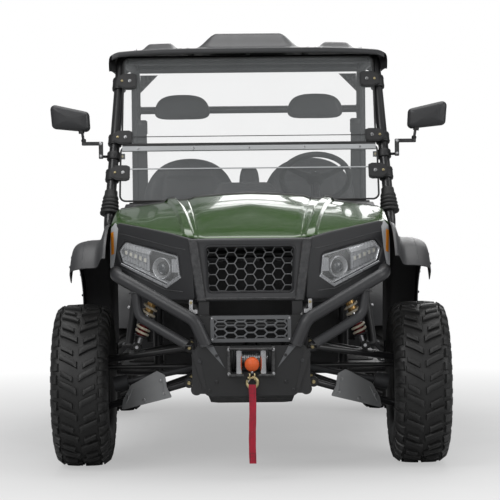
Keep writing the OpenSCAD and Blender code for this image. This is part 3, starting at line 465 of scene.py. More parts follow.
def vinyl(name, col, ridge=240):
    """Grained seat covering with a leather-like cell pattern."""
    m, nt, b = start(name)
    tc = coordinates(nt)
    wander = node(nt, "ShaderNodeTexNoise", Vector=tc, Scale=60.0, Detail=3.0).outputs["Color"]
    cells = node(nt, "ShaderNodeTexVoronoi", feature="DISTANCE_TO_EDGE", Scale=ridge,
                 Vector=blend(nt, 0.012, tc, wander, "ADD")).outputs["Distance"]
    grain = ramp(nt, cells, [(0.0, 0.0), (0.12, 1.0)])
    big = noise(nt, tc, 5, 5, 0.65)
    colour = ramp(nt, big, [(0.3, tint(col, 0.8)), (0.7, tint(col, 1.25))])
    plug(nt, b, {"Base Color": blend(nt, 0.45, colour, grain, "MULTIPLY"),
                 "Roughness": ramp(nt, big, [(0.3, 0.42), (0.7, 0.6)]), "Sheen Weight": 0.08,
                 "Normal": relief(nt, grain, 0.35, 0.0007)})
    return m


def webbing(name, col):
    """Woven strap: ribs across its length and a weave between them."""
    m, nt, b = start(name)
    tc = coordinates(nt)
    ribs = node(nt, "ShaderNodeTexWave", Vector=tc, Scale=1 / (0.0022 * 6.28), wave_type="BANDS",
                Distortion=0.6, bands_direction="Z", **{"Detail Scale": 3.0}).outputs["Fac"]
    cords = node(nt, "ShaderNodeTexWave", Vector=tc, Scale=1 / (0.0031 * 6.28), wave_type="BANDS",
                 bands_direction="X").outputs["Fac"]
    both = product(nt, ribs, cords)
    worn = noise(nt, tc, 40, 5, 0.7)
    colour = blend(nt, 0.6, ramp(nt, worn, [(0.3, tint(col, 0.75)), (0.7, tint(col, 1.2))]),
                   ramp(nt, both, [(0.0, 0.45), (0.6, 1.0)]), "MULTIPLY")
    plug(nt, b, {"Base Color": colour, "Roughness": ramp(nt, worn, [(0.3, 0.65), (0.7, 0.85)]),
                 "Sheen Weight": 0.25, "Normal": relief(nt, both, 0.5, 0.0008)})
    return m


SEAT_VINYL = vinyl("seat_vinyl", (0.024, 0.024, 0.026))
SEAT_BAND = vinyl("seat_band", (0.04, 0.04, 0.042), 400)
RED_WEB = webbing("red_webbing", (0.48, 0.008, 0.035))
BELT_WEB = webbing("belt_webbing", (0.02, 0.02, 0.021))
THREAD = surface("seam_thread", (0.05, 0.05, 0.052), 0.7, grain=2500, depth=0.5)


# ---- Floor, backdrop and light ----


def seen(nt):
    """1 for rays from the camera, or from it through glass."""
    path = node(nt, "ShaderNodeLightPath").outputs
    return node(nt, "ShaderNodeMath", path["Is Camera Ray"], path["Is Transmission Ray"],
                operation="MAXIMUM").outputs[0]


def stage_material():
    """A floor that shows white away from the vehicle, and lights it as a plain grey one."""
    m = bpy.data.materials.new("studio_floor")
    m.use_nodes = True
    nt = m.node_tree
    nt.nodes.clear()
    tc = coordinates(nt)
    grey = ramp(nt, noise(nt, tc, 1.5, 4, 0.6), [(0.3, 0.44), (0.7, 0.48)])
    far = node(nt, "ShaderNodeVectorMath", tc, operation="LENGTH").outputs["Value"]
    fade = ramp(nt, product(nt, far, 0.1), [(0.1, 0.4), (0.34, 1.0)])
    both = node(nt, "ShaderNodeMixShader", product(nt, seen(nt), fade),
                node(nt, "ShaderNodeBsdfDiffuse", Color=grey).outputs[0],
                node(nt, "ShaderNodeEmission", Strength=1.0).outputs[0])
    node(nt, "ShaderNodeOutputMaterial", Surface=both.outputs[0])
    return m


floor = Shape()
floor.add([(-40, -40, 0), (40, -40, 0), (40, 40, 0), (-40, 40, 0)], [(0, 1, 2, 3)], stage_material())
make("Floor", floor, None)

world = bpy.data.worlds.new("Studio")
scene.world = world
world.use_nodes = True
nt = world.node_tree
nt.nodes.clear()
soft = node(nt, "ShaderNodeBackground", Strength=0.24, Color=(0.97, 0.985, 1, 1))
white = node(nt, "ShaderNodeBackground", Strength=1.0, Color=(1, 1, 1, 1))
both = node(nt, "ShaderNodeMixShader", seen(nt), soft.outputs[0], white.outputs[0])
node(nt, "ShaderNodeOutputWorld", Surface=both.outputs[0])

for name, at, look, size, power in (
        ("Key", (-3.5, -5.5, 5.0), (0, 0, 0.7), 3.5, 190),
        ("Fill", (5.0, -3.5, 3.2), (0, 0, 0.8), 3.5, 100),
        ("Top", (0, 0.2, 6.0), (0, 0, 0), 5.0, 210),
        ("Front", (0, -7.5, 2.2), (0, 0, 0.6), 3.0, 45),
        ("Back", (1.5, 6.5, 4.0), (0, 0, 0.8), 4.0, 150)):
    lamp = bpy.data.objects.new(name, bpy.data.lights.new(name, "AREA"))
    lamp.data.shape, lamp.data.size, lamp.data.energy = "SQUARE", size, power
    lamp.location = at
    lamp.rotation_euler = (V(look) - V(at)).to_track_quat("-Z", "Y").to_euler()
    scene.collection.objects.link(lamp)
scene.view_settings.view_transform = "Standard"


# ---- Strap, hook, stopper, fairlead ----

STRAP = [(0.003 + 0.0015 * sin(radians(24 * i)), -1.4548 - 0.0003 * i, 0.368 - 0.020 * i) for i in range(16)]
strap = Shape()
line = smooth_line(STRAP, 4)
rows = []
for i, p in enumerate(line):
    t = i / (len(line) - 1)
    w = 0.0135 * (1 + 0.02 * sin(t * 30))
    bow = 0.0006 * sin(t * 17)
    ring = [(-1, -0.55), (-0.94, -1), (-0.5, -1.05), (0, -1.1), (0.5, -1.05), (0.94, -1), (1, -0.55),
            (1, 0.55), (0.94, 1), (0.5, 0.95), (0, 0.9), (-0.5, 0.95), (-0.94, 1), (-1, 0.55)]
    rows.append([V(p) + V((a * w, b * 0.00145 + bow * (1 - a * a), 0)) for a, b in ring])
strap.grid(rows, RED_WEB, round_u=True)
strap.add(rows[0], [tuple(range(14))], RED_WEB)
strap.add(rows[-1], [tuple(range(14))[::-1]], RED_WEB)
# Lines of stitches where the end is folded and sewn
for z0, z1 in ((0.352, 0.318), (0.106, 0.082)):
    for k in range(6):
        z = mix(z0, z1, k / 5)
        y = lin([(0.068, -1.4593), (0.368, -1.4548)], z) - 0.0017
        for sx in (-1, 1):
            strap.tube([(0.003 + sx * 0.0095, y, z + 0.0024), (0.003 + sx * 0.0095, y - 0.0004, z),
                        (0.003 + sx * 0.0095, y, z - 0.0024)], 0.0005, THREAD, 5)
    for z in (z0, z1, (z0 + z1) / 2):
        y = lin([(0.068, -1.4593), (0.368, -1.4548)], z) - 0.0017
        for k in range(4):
            x = -0.0045 + k * 0.005
            strap.tube([(x - 0.0018, y, z), (x, y - 0.0004, z), (x + 0.0018, y, z)], 0.0005, THREAD, 5)
strap_obj = make("Winch_hook_strap", strap, "root", ["hook_strap"], angle=60, weld=False)
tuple(STRAP[0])

hook = Shape()
HX, HY, HZ = 0.003, -1.447, 0.376
# Clevis, its pin and the hook with a latch
for sx in (-1, 1):
    x = HX + sx * 0.0095
    hook.box((x - 0.003, HY - 0.0085, HZ + 0.008), (x + 0.003, HY + 0.0085, HZ + 0.036), ZINC, 0.0025)
hook.lathe([(0, -0.0165), (0.0055, -0.0165), (0.006, -0.0155), (0.006, -0.0125), (0.0042, -0.0125),
            (0.0042, 0.0125), (0.006, 0.0125), (0.006, 0.0155), (0.0045, 0.0165), (0, 0.0165)],
           (HX, HY, HZ + 0.017), (1, 0, 0), ZINC, 20)
bend = [(HX + 0.0205 * cos(radians(a)), HY, HZ - 0.0005 + 0.0205 * sin(radians(a)))
        for a in range(90, -215, -9)]
n = len(bend)
hook.tube(bend, [0.0058 + 0.0008 * sin(pi * i / (n - 1)) - 0.0014 * (i / (n - 1)) ** 3 for i in range(n)],
          ZINC, 16)
latch = [(HX - 0.002, HY, HZ + 0.018), (HX - 0.01, HY, HZ + 0.008), (HX - 0.0165, HY, HZ - 0.001)]
hook.tube(latch, 0.0022, STEEL, 10, flat=0.0022)
# Rope with its thimble and stopper
rope = smooth_line([(HX, -1.372, 0.453), (HX, -1.40, 0.452), (HX, -1.43, 0.447), (HX, HY + 0.002, 0.445)], 6)
for k in range(3):
    strand = []
    for i in range(0, 37):
        t = i / 36
        p = rope[0].lerp(rope[-1], t)
        a = 2 * pi * (t * 5 + k / 3)
        strand.append(p + V((cos(a), 0, sin(a))) * 0.0019)
    hook.tube(strand, 0.0022, STEEL, 8)
hook.lathe([(0.0035, 0.0), (0.0055, 0.001), (0.0058, 0.012), (0.0042, 0.0135)], (HX, HY, HZ + 0.034),
           (0, 0, 1), STEEL, 16)
make("Winch_hook", hook, "root", ["winch_hook"], angle=50)
ball = Shape()
prof = []
for i in range(33):
    a = pi * i / 32 - pi / 2
    r, h = 0.028 * cos(a), 0.028 * sin(a)
    seam = 0.0007 * exp(-(h / 0.0012) ** 2)
    flat = min(1, 0.0262 / max(abs(h), 1e-6))
    prof.append((max(0, r - seam), h * flat))
ball.lathe(prof, (HX, HY, 0.445), (0, 0.35, 0.94), ORANGE, 40)
make("Rope_stopper", ball, "root", angle=60)

fair = Shape()
for sx in (-1, 1):
    fair.lathe([(0, -0.046), (0.0112, -0.046), (0.013, -0.0435), (0.0131, -0.03), (0.0124, 0), (0.0131, 0.03),
                (0.013, 0.0435), (0.0112, 0.046), (0, 0.046)], (sx * 0.046, -1.4403, 0.453), (0, 0, 1),
               CHROME, 32)
    for z, s in ((0.4995, 1), (0.4065, -1)):
        fair.lathe([(0, 0), (0.0085, 0), (0.009, 0.001), (0.009, 0.0035), (0, 0.0035)],
                   (sx * 0.046, -1.4403, z), (0, 0, s), STEEL, 20)
    fair.box((sx * 0.079, -1.4323, 0.395), (sx * 0.091, -1.4206, 0.511), BLACK_PAINT)
    fair.box((sx * 0.028, -1.4533, 0.399), (sx * 0.085, -1.4206, 0.407), BLACK_PAINT)
    fair.bolt((sx * 0.085, -1.4323, 0.500), (0, -1, 0), 0.010, STEEL)
    fair.bolt((sx * 0.085, -1.4323, 0.407), (0, -1, 0), 0.010, STEEL)
fair.box((-0.085, -1.4533, 0.499), (0.085, -1.4206, 0.507), BLACK_PAINT)
make("Fairlead_rollers", fair, "root", ["fairlead"])

drum = Shape()
WY, WZ = -1.3373, 0.453
for x, out in ((-0.067, 1), (0.067, -1)):
    drum.lathe([(0.02, 0), (0.041, 0), (0.043, 0.001), (0.043, 0.004), (0.041, 0.005), (0.02, 0.005)],
               (x, WY, WZ), (out, 0, 0), IRON, 40)
wound = [(0.0215, -0.062)]
for i in range(200):
    a = i / 199
    wound.append((0.0235 + 0.0034 * abs(sin(a * 15.5 * pi)), -0.062 + 0.124 * a))
wound.append((0.0215, 0.062))
drum.lathe(wound, (0, WY, WZ), (1, 0, 0), STEEL, 28)
drum.lathe([(0, -0.076), (0.038, -0.076), (0.0455, -0.068), (0.046, -0.03), (0.0435, -0.028),
            (0.0435, -0.016), (0.046, -0.014), (0.046, 0)], (-0.0695, WY, WZ), (1, 0, 0), IRON, 40)
drum.lathe([(0, -0.076), (0.034, -0.076), (0.043, -0.066), (0.044, 0)], (0.0695, WY, WZ), (-1, 0, 0), IRON,
           40)
drum.box((-0.146, -1.4120, 0.389), (0.146, -1.2973, 0.409), IRON, 0.002)
make("Winch_drum", drum, "root", ["winch"])


# ---- Tyres ----

CARCASS = [(0.0, 0.3155), (0.03, 0.3152), (0.06, 0.3138), (0.08, 0.311), (0.0925, 0.305), (0.1005, 0.2955),
           (0.106, 0.283), (0.1095, 0.268), (0.1115, 0.25), (0.1122, 0.232), (0.1112, 0.213), (0.108, 0.195),
           (0.1025, 0.18), (0.096, 0.169), (0.0915, 0.1625), (0.0905, 0.158), (0.0885, 0.1545)]
RUN = [0.0]
for (x0, r0), (x1, r1) in zip(CARCASS, CARCASS[1:]):
    RUN.append(RUN[-1] + hypot(x1 - x0, r1 - r0))
RUN_X, RUN_R = [list(zip(RUN, values)) for values in zip(*CARCASS)]


def carcass(u, h=0.0):
    """A point (x, radius) at the distance u along the tyre's outline, h proud of it."""
    e = 0.006
    (x, r), (xa, ra), (xb, rb) = [(lin(RUN_X, w), lin(RUN_R, w)) for w in (u, u - e, u + e)]
    t = hypot(xb - xa, rb - ra) or 1
    return x - (rb - ra) / t * h, r + (xb - xa) / t * h


LUG_H = [(0, 0.0118), (0.07, 0.0112), (0.09, 0.0098), (0.105, 0.0078), (0.12, 0.0048), (0.135, 0.0032),
         (0.15, 0.0022)]
PITCHES = 19
ROUND = 2 * pi * TREAD_R / PITCHES


def lug(shape, stations, sx, turn):
    """One tread block: stations are (u, first, last) with first and last along the tread."""
    rows = []
    us = [s[0] for s in stations]
    n = len(stations)
    steps = []
    for k in range(n - 1):
        m = max(1, int((us[k + 1] - us[k]) / 0.014))
        for j in range(m):
            t = j / m
            steps.append(tuple(mix(stations[k][i], stations[k + 1][i], t) for i in range(3)))
    steps.append(stations[-1])
    end = len(steps) - 1
    for k, (u, a, b) in enumerate(steps):
        h = lin(LUG_H, u)
        push = -0.0016 if k == 0 else 0.0016 if k == end else 0
        pts = []
        for off, hh, du in ((-0.002, -0.0015, push), (0.0, h - 0.0014, 0), (0.0016, h, -push),
                            (None, h, -push), (0.0, h - 0.0014, 0), (0.002, -0.0015, push)):
            side_hi = len(pts) >= 3
            if off is None:
                s = b - 0.0016
            elif side_hi:
                s = b + (0.0 if hh > 0 else 0.002)
            else:
                s = a + off
            x, r = carcass(u + du, hh)
            ang = turn + s / TREAD_R
            pts.append((sx * x, -r * cos(ang), r * sin(ang)))
        rows.append(pts)
    shape.grid(rows, TYRE)
    shape.add(rows[0], [tuple(range(6))], TYRE)
    shape.add(rows[-1], [tuple(range(6))[::-1]], TYRE)


def tyre():
    s = Shape()
    fine = [0.0]
    for a, b in zip(RUN, RUN[1:]):
        fine += [mix(a, b, 0.5), b]
    half = []
    for u in fine:
        x, r = carcass(u)
        # Ribs and a plain raised band on the side wall
        rib = 0.0
        for at, wide, high in ((0.268, 0.0022, 0.0012), (0.226, 0.002, 0.001), (0.19, 0.002, 0.0012),
                               (0.172, 0.003, 0.0014)):
            if x > 0.09 and abs(r - at) < wide * 1.6:
                rib = high * (1 - abs(r - at) / (wide * 1.6))
        half.append(carcass(u, rib))
    rows = [(r, -x) for x, r in half[::-1]] + [(r, x) for x, r in half[1:]]
    s.lathe([(0.1535, -0.086)] + rows + [(0.1535, 0.086)], (0, 0, 0), (1, 0, 0), TYRE, 96)
    for p in range(PITCHES):
        for sx in (1, -1):
            turn = (p + (0.5 if sx < 0 else 0)) * ROUND / TREAD_R
            lug(s, [(0.004, 0.000, 0.026), (0.034, 0.018, 0.043), (0.072, 0.038, 0.060)], sx, turn)
            lug(s, [(0.020, 0.052, 0.072), (0.048, 0.068, 0.088), (0.066, 0.078, 0.096)], sx, turn)
            lug(s, [(0.080, 0.044, 0.078), (0.100, 0.048, 0.080), (0.138, 0.054, 0.082)], sx, turn)
            lug(s, [(0.076, 0.096, 0.126), (0.102, 0.099, 0.127), (0.128, 0.102, 0.126)], sx, turn)
            # Small wear bars low on the shoulder
            lug(s, [(0.142, 0.056, 0.061), (0.157, 0.057, 0.062)], sx, turn)
            lug(s, [(0.142, 0.072, 0.077), (0.157, 0.073, 0.078)], sx, turn)
    return s


def rim(out):
    """A rim whose face looks along out times X."""
    s = Shape()
    barrel = [(0.1655, 0.0925), (0.1675, 0.0905), (0.166, 0.0865), (0.1535, 0.0845), (0.152, 0.080),
              (0.1505, 0.055), (0.139, 0.045), (0.136, 0.030), (0.136, -0.030), (0.1505, -0.048),
              (0.152, -0.080), (0.1535, -0.0845), (0.166, -0.0865), (0.1675, -0.0905), (0.1655, -0.0925),
              (0.1625, -0.0905), (0.1605, -0.0875), (0.149, -0.083), (0.1475, -0.080), (0.146, -0.046),
              (0.1315, -0.029), (0.1315, 0.031), (0.1345, 0.047), (0.146, 0.058), (0.1475, 0.080),
              (0.149, 0.083), (0.1605, 0.0875), (0.1625, 0.0905)]
    s.lathe([(r, h * out) for r, h in barrel + barrel[:1]], (0, 0, 0), (1, 0, 0), RIM_PAINT, 64)
    s.lathe([(0.1345, 0.033 * out), (0.1345, 0.047 * out), (0.124, 0.0495 * out), (0.1205, 0.047 * out),
             (0.121, 0.033 * out), (0.1345, 0.033 * out)], (0, 0, 0), (1, 0, 0), RIM_PAINT, 64)
    s.lathe([(0.0345, 0.038 * out), (0.0345, 0.051 * out), (0.037, 0.0545 * out), (0.066, 0.0545 * out),
             (0.0715, 0.051 * out), (0.073, 0.038 * out), (0.0345, 0.038 * out)], (0, 0, 0), (1, 0, 0),
            RIM_PAINT, 64)
    count = 8
    for k in range(count):
        a = 2 * pi * k / count
        for fork in (-1, 1):
            rows = []
            for t in (0, 0.15, 0.4, 0.7, 1.0):
                r = mix(0.066, 0.126, t)
                mid = a + fork * mix(0.045, 0.17, t)
                w = mix(0.0125, 0.0085, t)
                lift = 0.052 + 0.004 * sin(pi * t) - 0.003 * t
                pts = []
                for b, h in ((-1, 0.036), (-1, lift - 0.0025), (-0.7, lift), (0.7, lift), (1, lift - 0.0025),
                             (1, 0.036)):
                    ang = mid + b * w / r
                    pts.append((h * out, -r * cos(ang), r * sin(ang)))
                rows.append(pts)
            s.grid(rows, RIM_PAINT, round_u=True)
    for k in range(4):
        a = 2 * pi * (k + 0.5) / 4
        at = (0.0545 * out, -0.053 * cos(a), 0.053 * sin(a))
        s.lathe([(0.0145, -0.004), (0.0145, 0.0006), (0.0125, 0.0006)], at, (out, 0, 0), RIM_PAINT, 24)
        s.lathe([(0, 0), (0.0115, 0), (0.0118, 0.003), (0.0095, 0.005)], at, (out, 0, 0), STEEL, 24)
        s.lathe([(0.0095, 0.004), (0.0095, 0.015), (0.008, 0.018), (0.0, 0.0185)], at, (out, 0, 0), STEEL, 6)
    s.lathe([(0.034, 0.040 * out), (0.0335, 0.058 * out), (0.030, 0.0655 * out), (0.016, 0.068 * out),
             (0, 0.0685 * out)], (0, 0, 0), (1, 0, 0), BLACK_PLASTIC, 40)
    valve = (0.044 * out, -0.128 * cos(0.39), 0.128 * sin(0.39))
    s.lathe([(0.0045, 0), (0.004, 0.012), (0.0028, 0.0125), (0.0028, 0.022), (0, 0.0225)], valve, (out, 0, 0),
            RUBBER, 12)
    return s


for axle, y in (("front", -0.990), ("rear", 0.930)):
    for hand, sx in (("left", 1), ("right", -1)):
        body = f"wheel_{axle}_{hand}"
        c = V((sx * 0.6755, y, WHEEL_Z))
        turn = radians(3.5 if sx > 0 else 11) + (0.1 if axle == "rear" else 0)
        q = Matrix.Rotation(turn, 4, "X")
        t = tyre().moved(lambda p: (q @ p) + c)
        make(f"Tyre_{axle}_{hand}", t, body, [f"tyre_{axle}_{hand}"], angle=50)
        r = rim(sx).moved(lambda p: (q @ p) + c)
        make(f"Rim_{axle}_{hand}", r, body, [f"rim_{axle}_{hand}"], angle=32)


# ---- Roll cage and bumper tubes ----

PILLAR_LOW, PILLAR_TOP = V((0.603, -0.575, 0.980)), V((0.562, -0.275, 1.704))


def pillar_at(z):
    return PILLAR_LOW + (PILLAR_TOP - PILLAR_LOW) * ((z - PILLAR_LOW.z) / (PILLAR_TOP.z - PILLAR_LOW.z))


def weld_bead(shape, at, axis, r, mat=BLACK_PAINT):
    """A rippled bead round a tube where it joins another."""
    a = V(axis).normalized()
    u = a.orthogonal().normalized()
    w = a.cross(u)
    path = []
    for k in range(73):
        t = 2 * pi * k / 72
        ripple = 0.0006 * sin(k * 2.6)
        path.append(V(at) + (u * cos(t) + w * sin(t)) * (r + ripple))
    shape.tube(path, 0.0028, mat, 6, caps=False)


cage = Shape()
cage.tube(rounded([(0.590, -0.580, 0.374), PILLAR_LOW, PILLAR_TOP, (0.545, 0.450, 1.704),
                   (0.545, 0.450, 0.700), (0.590, 0.430, 0.378)], 0.077, 9), 0.022, BLACK_PAINT, 24)
for y in (-0.580, 0.430):
    cage.box((0.555, y - 0.035, 0.3723), (0.625, y + 0.035, 0.382), BLACK_PAINT)
    for dx in (-0.026, 0.026):
        for dy in (-0.026, 0.026):
            cage.bolt((0.590 + dx, y + dy, 0.382), (0, 0, 1), 0.010, STEEL)
    weld_bead(cage, (0.590, y, 0.384), (0, 0, 1), 0.0235)
for y, z, x, r in ((-0.185, 1.704, 0.537, 0.019), (0.360, 1.704, 0.526, 0.019), (0.450, 1.513, 0.5235, 0.018),
                   (0.450, 1.080, 0.5235, 0.016), (-0.5765, 0.840, 0.578, 0.016)):
    weld_bead(cage, (x, y, z), (1, 0, 0), r + 0.0015)
# Gussets in the upper corners
cage.prism([(0.0, 0.0), (0.085, 0.0), (0.0, -0.085)], lambda a, b, t: (0.523 - a, 0.450 + t, 1.683 + b),
           -0.002, 0.002, BLACK_PAINT)
cage.mirrored()
for y, z, x, r in ((-0.185, 1.704, 0.554, 0.019), (0.360, 1.704, 0.540, 0.019), (0.450, 1.513, 0.545, 0.018),
                   (0.450, 1.080, 0.545, 0.016), (-0.576, 0.840, 0.598, 0.016)):
    cage.tube([(-x, y, z), (0, y, z), (x, y, z)], r, BLACK_PAINT, 24)
make("Roll_cage_tubes", cage, "root", ["roll_cage"], angle=40)

guard = Shape()
UP_END, UP_BEND = V((0.532, -1.1462, 0.790)), V((0.520, -1.290, 0.780))
UP_LOW, UP_FOOT = V((0.215, -1.4163, 0.612)), V((0.172, -1.4163, 0.514))
guard.tube(rounded([UP_END, UP_BEND, UP_LOW, UP_FOOT], 0.06, 10), 0.024, CHARCOAL, 24)
BR = UP_BEND.lerp(UP_LOW, 0.24)
guard.tube(rounded([BR, (0.432, BR.y - 0.008, 0.622), (0.242, -1.402, 0.516)], 0.055, 9), 0.019, CHARCOAL, 22)
weld_bead(guard, BR + V((0, -0.002, -0.024)), (V((0.432, BR.y - 0.008, 0.622)) - BR), 0.0205, CHARCOAL)
for p, r in ((V((0.172, -1.4163, 0.5145)), 0.0245), (V((0.242, -1.402, 0.5155)), 0.0195)):
    weld_bead(guard, p, (0, 0, 1), r, CHARCOAL)
guard.mirrored()
make("Bumper_tube_guards", guard, "root", ["bumper_tubes"], angle=40)

# ---- Shock absorbers ----


def shock(s, low, top, spring, body, shaft):
    low, top = V(low), V(top)
    d = (top - low).normalized()
    length = (top - low).length
    u = d.orthogonal().normalized()
    w = d.cross(u)
    for p in (low, top):
        s.lathe([(0.007, -0.0205), (0.0165, -0.0205), (0.0177, -0.019), (0.0177, 0.019), (0.0165, 0.0205),
                 (0.007, 0.0205)], p, (0, 1, 0), RUBBER, 28)
        s.lathe([(0, -0.024), (0.0068, -0.024), (0.007, 0.024), (0, 0.024)], p, (0, 1, 0), STEEL, 12)
    s.lathe([(0.0, 0.012), (0.012, 0.014), (0.0125, length * 0.2), (0.0, length * 0.2)], low, d, STEEL, 20)
    s.lathe([(0.0, length * 0.1), (0.0062, length * 0.1), (0.0062, length * 0.55), (0, length * 0.55)], low,
            d, CHROME, 20)
    s.lathe([(0.0, length * 0.13), (0.026, length * 0.13), (0.0295, length * 0.138), (0.0295, length * 0.15),
             (0.013, length * 0.16)], low, d, IRON, 32)
    s.lathe([(0.012, length * 0.13), (0.0215, length * 0.15), (0.0215, length * 0.28),
             (0.013, length * 0.29)], low, d, shaft, 28)
    s.lathe([(0.0, length * 0.42), (0.0175, length * 0.425), (0.018, length * 0.44), (0.018, length * 0.9),
             (0.012, length * 0.95)], low, d, body, 28)
    s.lathe([(0.0195, length * 0.84), (0.0295, length * 0.85), (0.0295, length * 0.868),
             (0.0195, length * 0.875)], low, d, IRON, 32)
    for k in range(3):
        h = length * (0.80 - 0.012 * k)
        s.lathe([(0.0195, h - 0.002), (0.0255, h - 0.002), (0.0255, h + 0.002), (0.0195, h + 0.002)], low, d,
                IRON, 24)
    turns, path = 11.0, []
    for k in range(int(turns * 22) + 1):
        t = k / (turns * 22)
        a = 2 * pi * turns * t
        squeeze = t - 0.028 * sin(2 * pi * t)
        h = length * mix(0.158, 0.845, squeeze)
        path.append(low + d * h + (u * cos(a) + w * sin(a)) * 0.0258)
    s.tube(path, 0.0051, spring, 10)



def eye_height(name, low):
    lo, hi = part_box(name)
    return lo.z + 0.0177 if low else hi.z - 0.0177


for axle, y, x_top in (("front", -0.990, 0.352), ("rear", 0.930, 0.275)):
    s = Shape()
    shock(s, (0.462, y, eye_height(f"{axle}_shocks", True)), (x_top, y, eye_height(f"{axle}_shocks", False)),
          SPRING, DAMPER, DAMPER_RED)
    s.mirrored()
    make(f"Coil_shocks_{axle}", s, "root", [f"{axle}_shocks"], angle=45, weld=False)


# ---- Hood ----

# Half width of the hood, its hinge, its rear edge, and where its front starts to sweep back
HOOD_X, HINGE = 0.552, V((0, -0.612, 1.060))
HOOD_REAR, BEND_X = -0.608, 0.240
FY, SWEEP = -1.325, radians(34)


def hood_front(x):
    return -1.303 + tan(SWEEP) * max(0, abs(x) - BEND_X)


def hood_z(x, v):
    edge = 0.926 + 0.060 * (max(0, abs(x) - BEND_X) / (HOOD_X - BEND_X)) ** 0.8
    back = 1.096 - 0.059 * (abs(x) / HOOD_X) ** 1.6
    return mix(edge, back, v ** 0.85) + 0.016 * sin(pi * v)


def bump(x, at, half, soft):
    """1 within half of at, falling to 0 over soft."""
    d = abs(x - at) - half
    t = max(0.0, min(1.0, 1 - d / soft))
    return t * t * (3 - 2 * t)


def hood_shape(x, v):
    z = hood_z(x, v)
    a = abs(x)
    ridge = mix(0.236, 0.335, v)
    z += 0.013 * bump(a, ridge, 0.015, 0.010) * min(1, v * 12 + 0.3)
    seam = mix(0.200, 0.262, v)
    z -= 0.0035 * bump(a, seam, 0.0008, 0.0022)
    # The middle panel: a crease that rises from the front edge and a scoop behind it
    inside = bump(a, 0, seam - 0.03, 0.025)
    crease = 0.30 + 0.20 * (1 - a / 0.2) if a < 0.2 else 0.30
    z += 0.010 * inside * (1 / (1 + exp(-(v - crease) * 34)) - 0.45)
    # Shallow hollow towards each outer corner
    z -= 0.007 * bump(a, 0.455, 0.03, 0.06) * sin(pi * min(1, v * 1.1)) ** 2
    return z


def hood():
    s = Shape()
    cols = sorted({round(x, 5) for x in
                   [mix(0, HOOD_X - 0.012, i / 46) for i in range(47)]
                   + [0.19 + 0.0025 * i for i in range(64)]})
    xs = [-x for x in cols[::-1] if x > 0] + cols
    n = 44
    rows = []
    for i in range(n + 1):
        v = i / n
        row = []
        for x in xs:
            row.append((x, mix(hood_front(x), HOOD_REAR, v), hood_shape(x, v)))
        # Rounded outer edge and skirt
        for sx in (-1, 1):
            edge = []
            depth = mix(0.045, 0.095, v)
            top = hood_shape(sx * (HOOD_X - 0.012), v)
            for k in range(1, 6):
                a = k / 5 * pi / 2
                edge.append((sx * (HOOD_X - 0.012 + 0.012 * sin(a)), mix(hood_front(HOOD_X), HOOD_REAR, v),
                             top - 0.010 * (1 - cos(a))))
            edge.append((sx * HOOD_X, mix(hood_front(HOOD_X), HOOD_REAR, v), top - depth * 0.55))
            edge.append((sx * (HOOD_X - 0.001), mix(hood_front(HOOD_X), HOOD_REAR, v), top - depth + 0.004))
            edge.append((sx * (HOOD_X - 0.005), mix(hood_front(HOOD_X), HOOD_REAR, v), top - depth + 0.004))
            row = edge[::-1] + row if sx < 0 else row + edge
        rows.append(row)
    # Front and rear edges turn down
    head = [[(x, y + dy, z + dz) for x, y, z in rows[0]] for dy, dz in ((-0.0005, -0.003), (0.003, -0.010))]
    tail = [[(x, y, z - 0.004) for x, y, z in rows[-1]], [(x, y, z - 0.006) for x, y, z in rows[-1]]]
    s.grid(head[::-1] + rows + tail, GREEN)
    return s, rows


h, hood_rows = hood()
hood_obj = make("Hood_panel", h, "hood", ["hood"], angle=60)
under = hood_obj.modifiers.new("Sheet", "SOLIDIFY")
under.thickness, under.offset = 0.0035, -1
# Black strip along the rear edge, hinge lugs, and inner ribs
trim = Shape()
edge = [p for p in hood_rows[-1] if abs(p[0]) <= HOOD_X - 0.001]
strip = [[(x, y - 0.026, z + 0.0012 - 0.026 * 0.16) for x, y, z in edge],
         [(x, y - 0.022, z + 0.0038 - 0.022 * 0.12) for x, y, z in edge],
         [(x, y - 0.004, z + 0.0044) for x, y, z in edge],
         [(x, y - 0.0003, z + 0.002) for x, y, z in edge], [(x, y - 0.0003, z - 0.008) for x, y, z in edge]]
trim.grid(strip, BLACK_PLASTIC)
for sx in (-1, 1):
    c = sx * 0.250
    trim.lathe([(0.0063, -0.010), (0.010, -0.010), (0.010, 0.010), (0.0063, 0.010)], (c, HINGE.y, HINGE.z),
               (1, 0, 0), BLACK_PAINT, 24)
    trim.box((c - 0.010, HINGE.y - 0.009, HINGE.z + 0.005), (c + 0.010, HINGE.y + 0.009, HINGE.z + 0.022),
             BLACK_PAINT)
    for x in (0.10, 0.36):
        trim.tube([(sx * x, -1.24 + 0.55 * max(0, x - 0.24), 0.939 + 0.05 * max(0, x - 0.24)),
                   (sx * x, -0.95, hood_z(x, 0.5) - 0.02), (sx * x, -0.64, hood_z(x, 0.93) - 0.022)], 0.008,
                  BLACK_PLASTIC, 8)
make("Hood_trim", trim, "hood", angle=45)

# ---- Fascia ----

SURROUND = [(-0.241, 0.922), (0.241, 0.922), (0.208, 0.680), (-0.208, 0.680)]
HOLE = [(-0.168, 0.888), (0.168, 0.888), (0.160, 0.718), (-0.160, 0.718)]
SIDE = [(0.228, 0.921), (0.310, 0.943), (0.400, 0.962), (0.520, 0.984), (0.552, 0.960), (0.556, 0.880),
        (0.556, 0.800), (0.520, 0.772), (0.312, 0.684), (0.216, 0.684)]
LAMP = [(0.520, 0.874), (0.494, 0.907), (0.286, 0.854), (0.278, 0.776), (0.325, 0.744), (0.506, 0.827)]


def swept(a, b, t):
    """Places a front view outline on the swept-back plane, t behind it."""
    u = (a - BEND_X) / cos(SWEEP)
    return (BEND_X + u * cos(SWEEP) - t * sin(SWEEP), FY + u * sin(SWEEP) + t * cos(SWEEP), b)


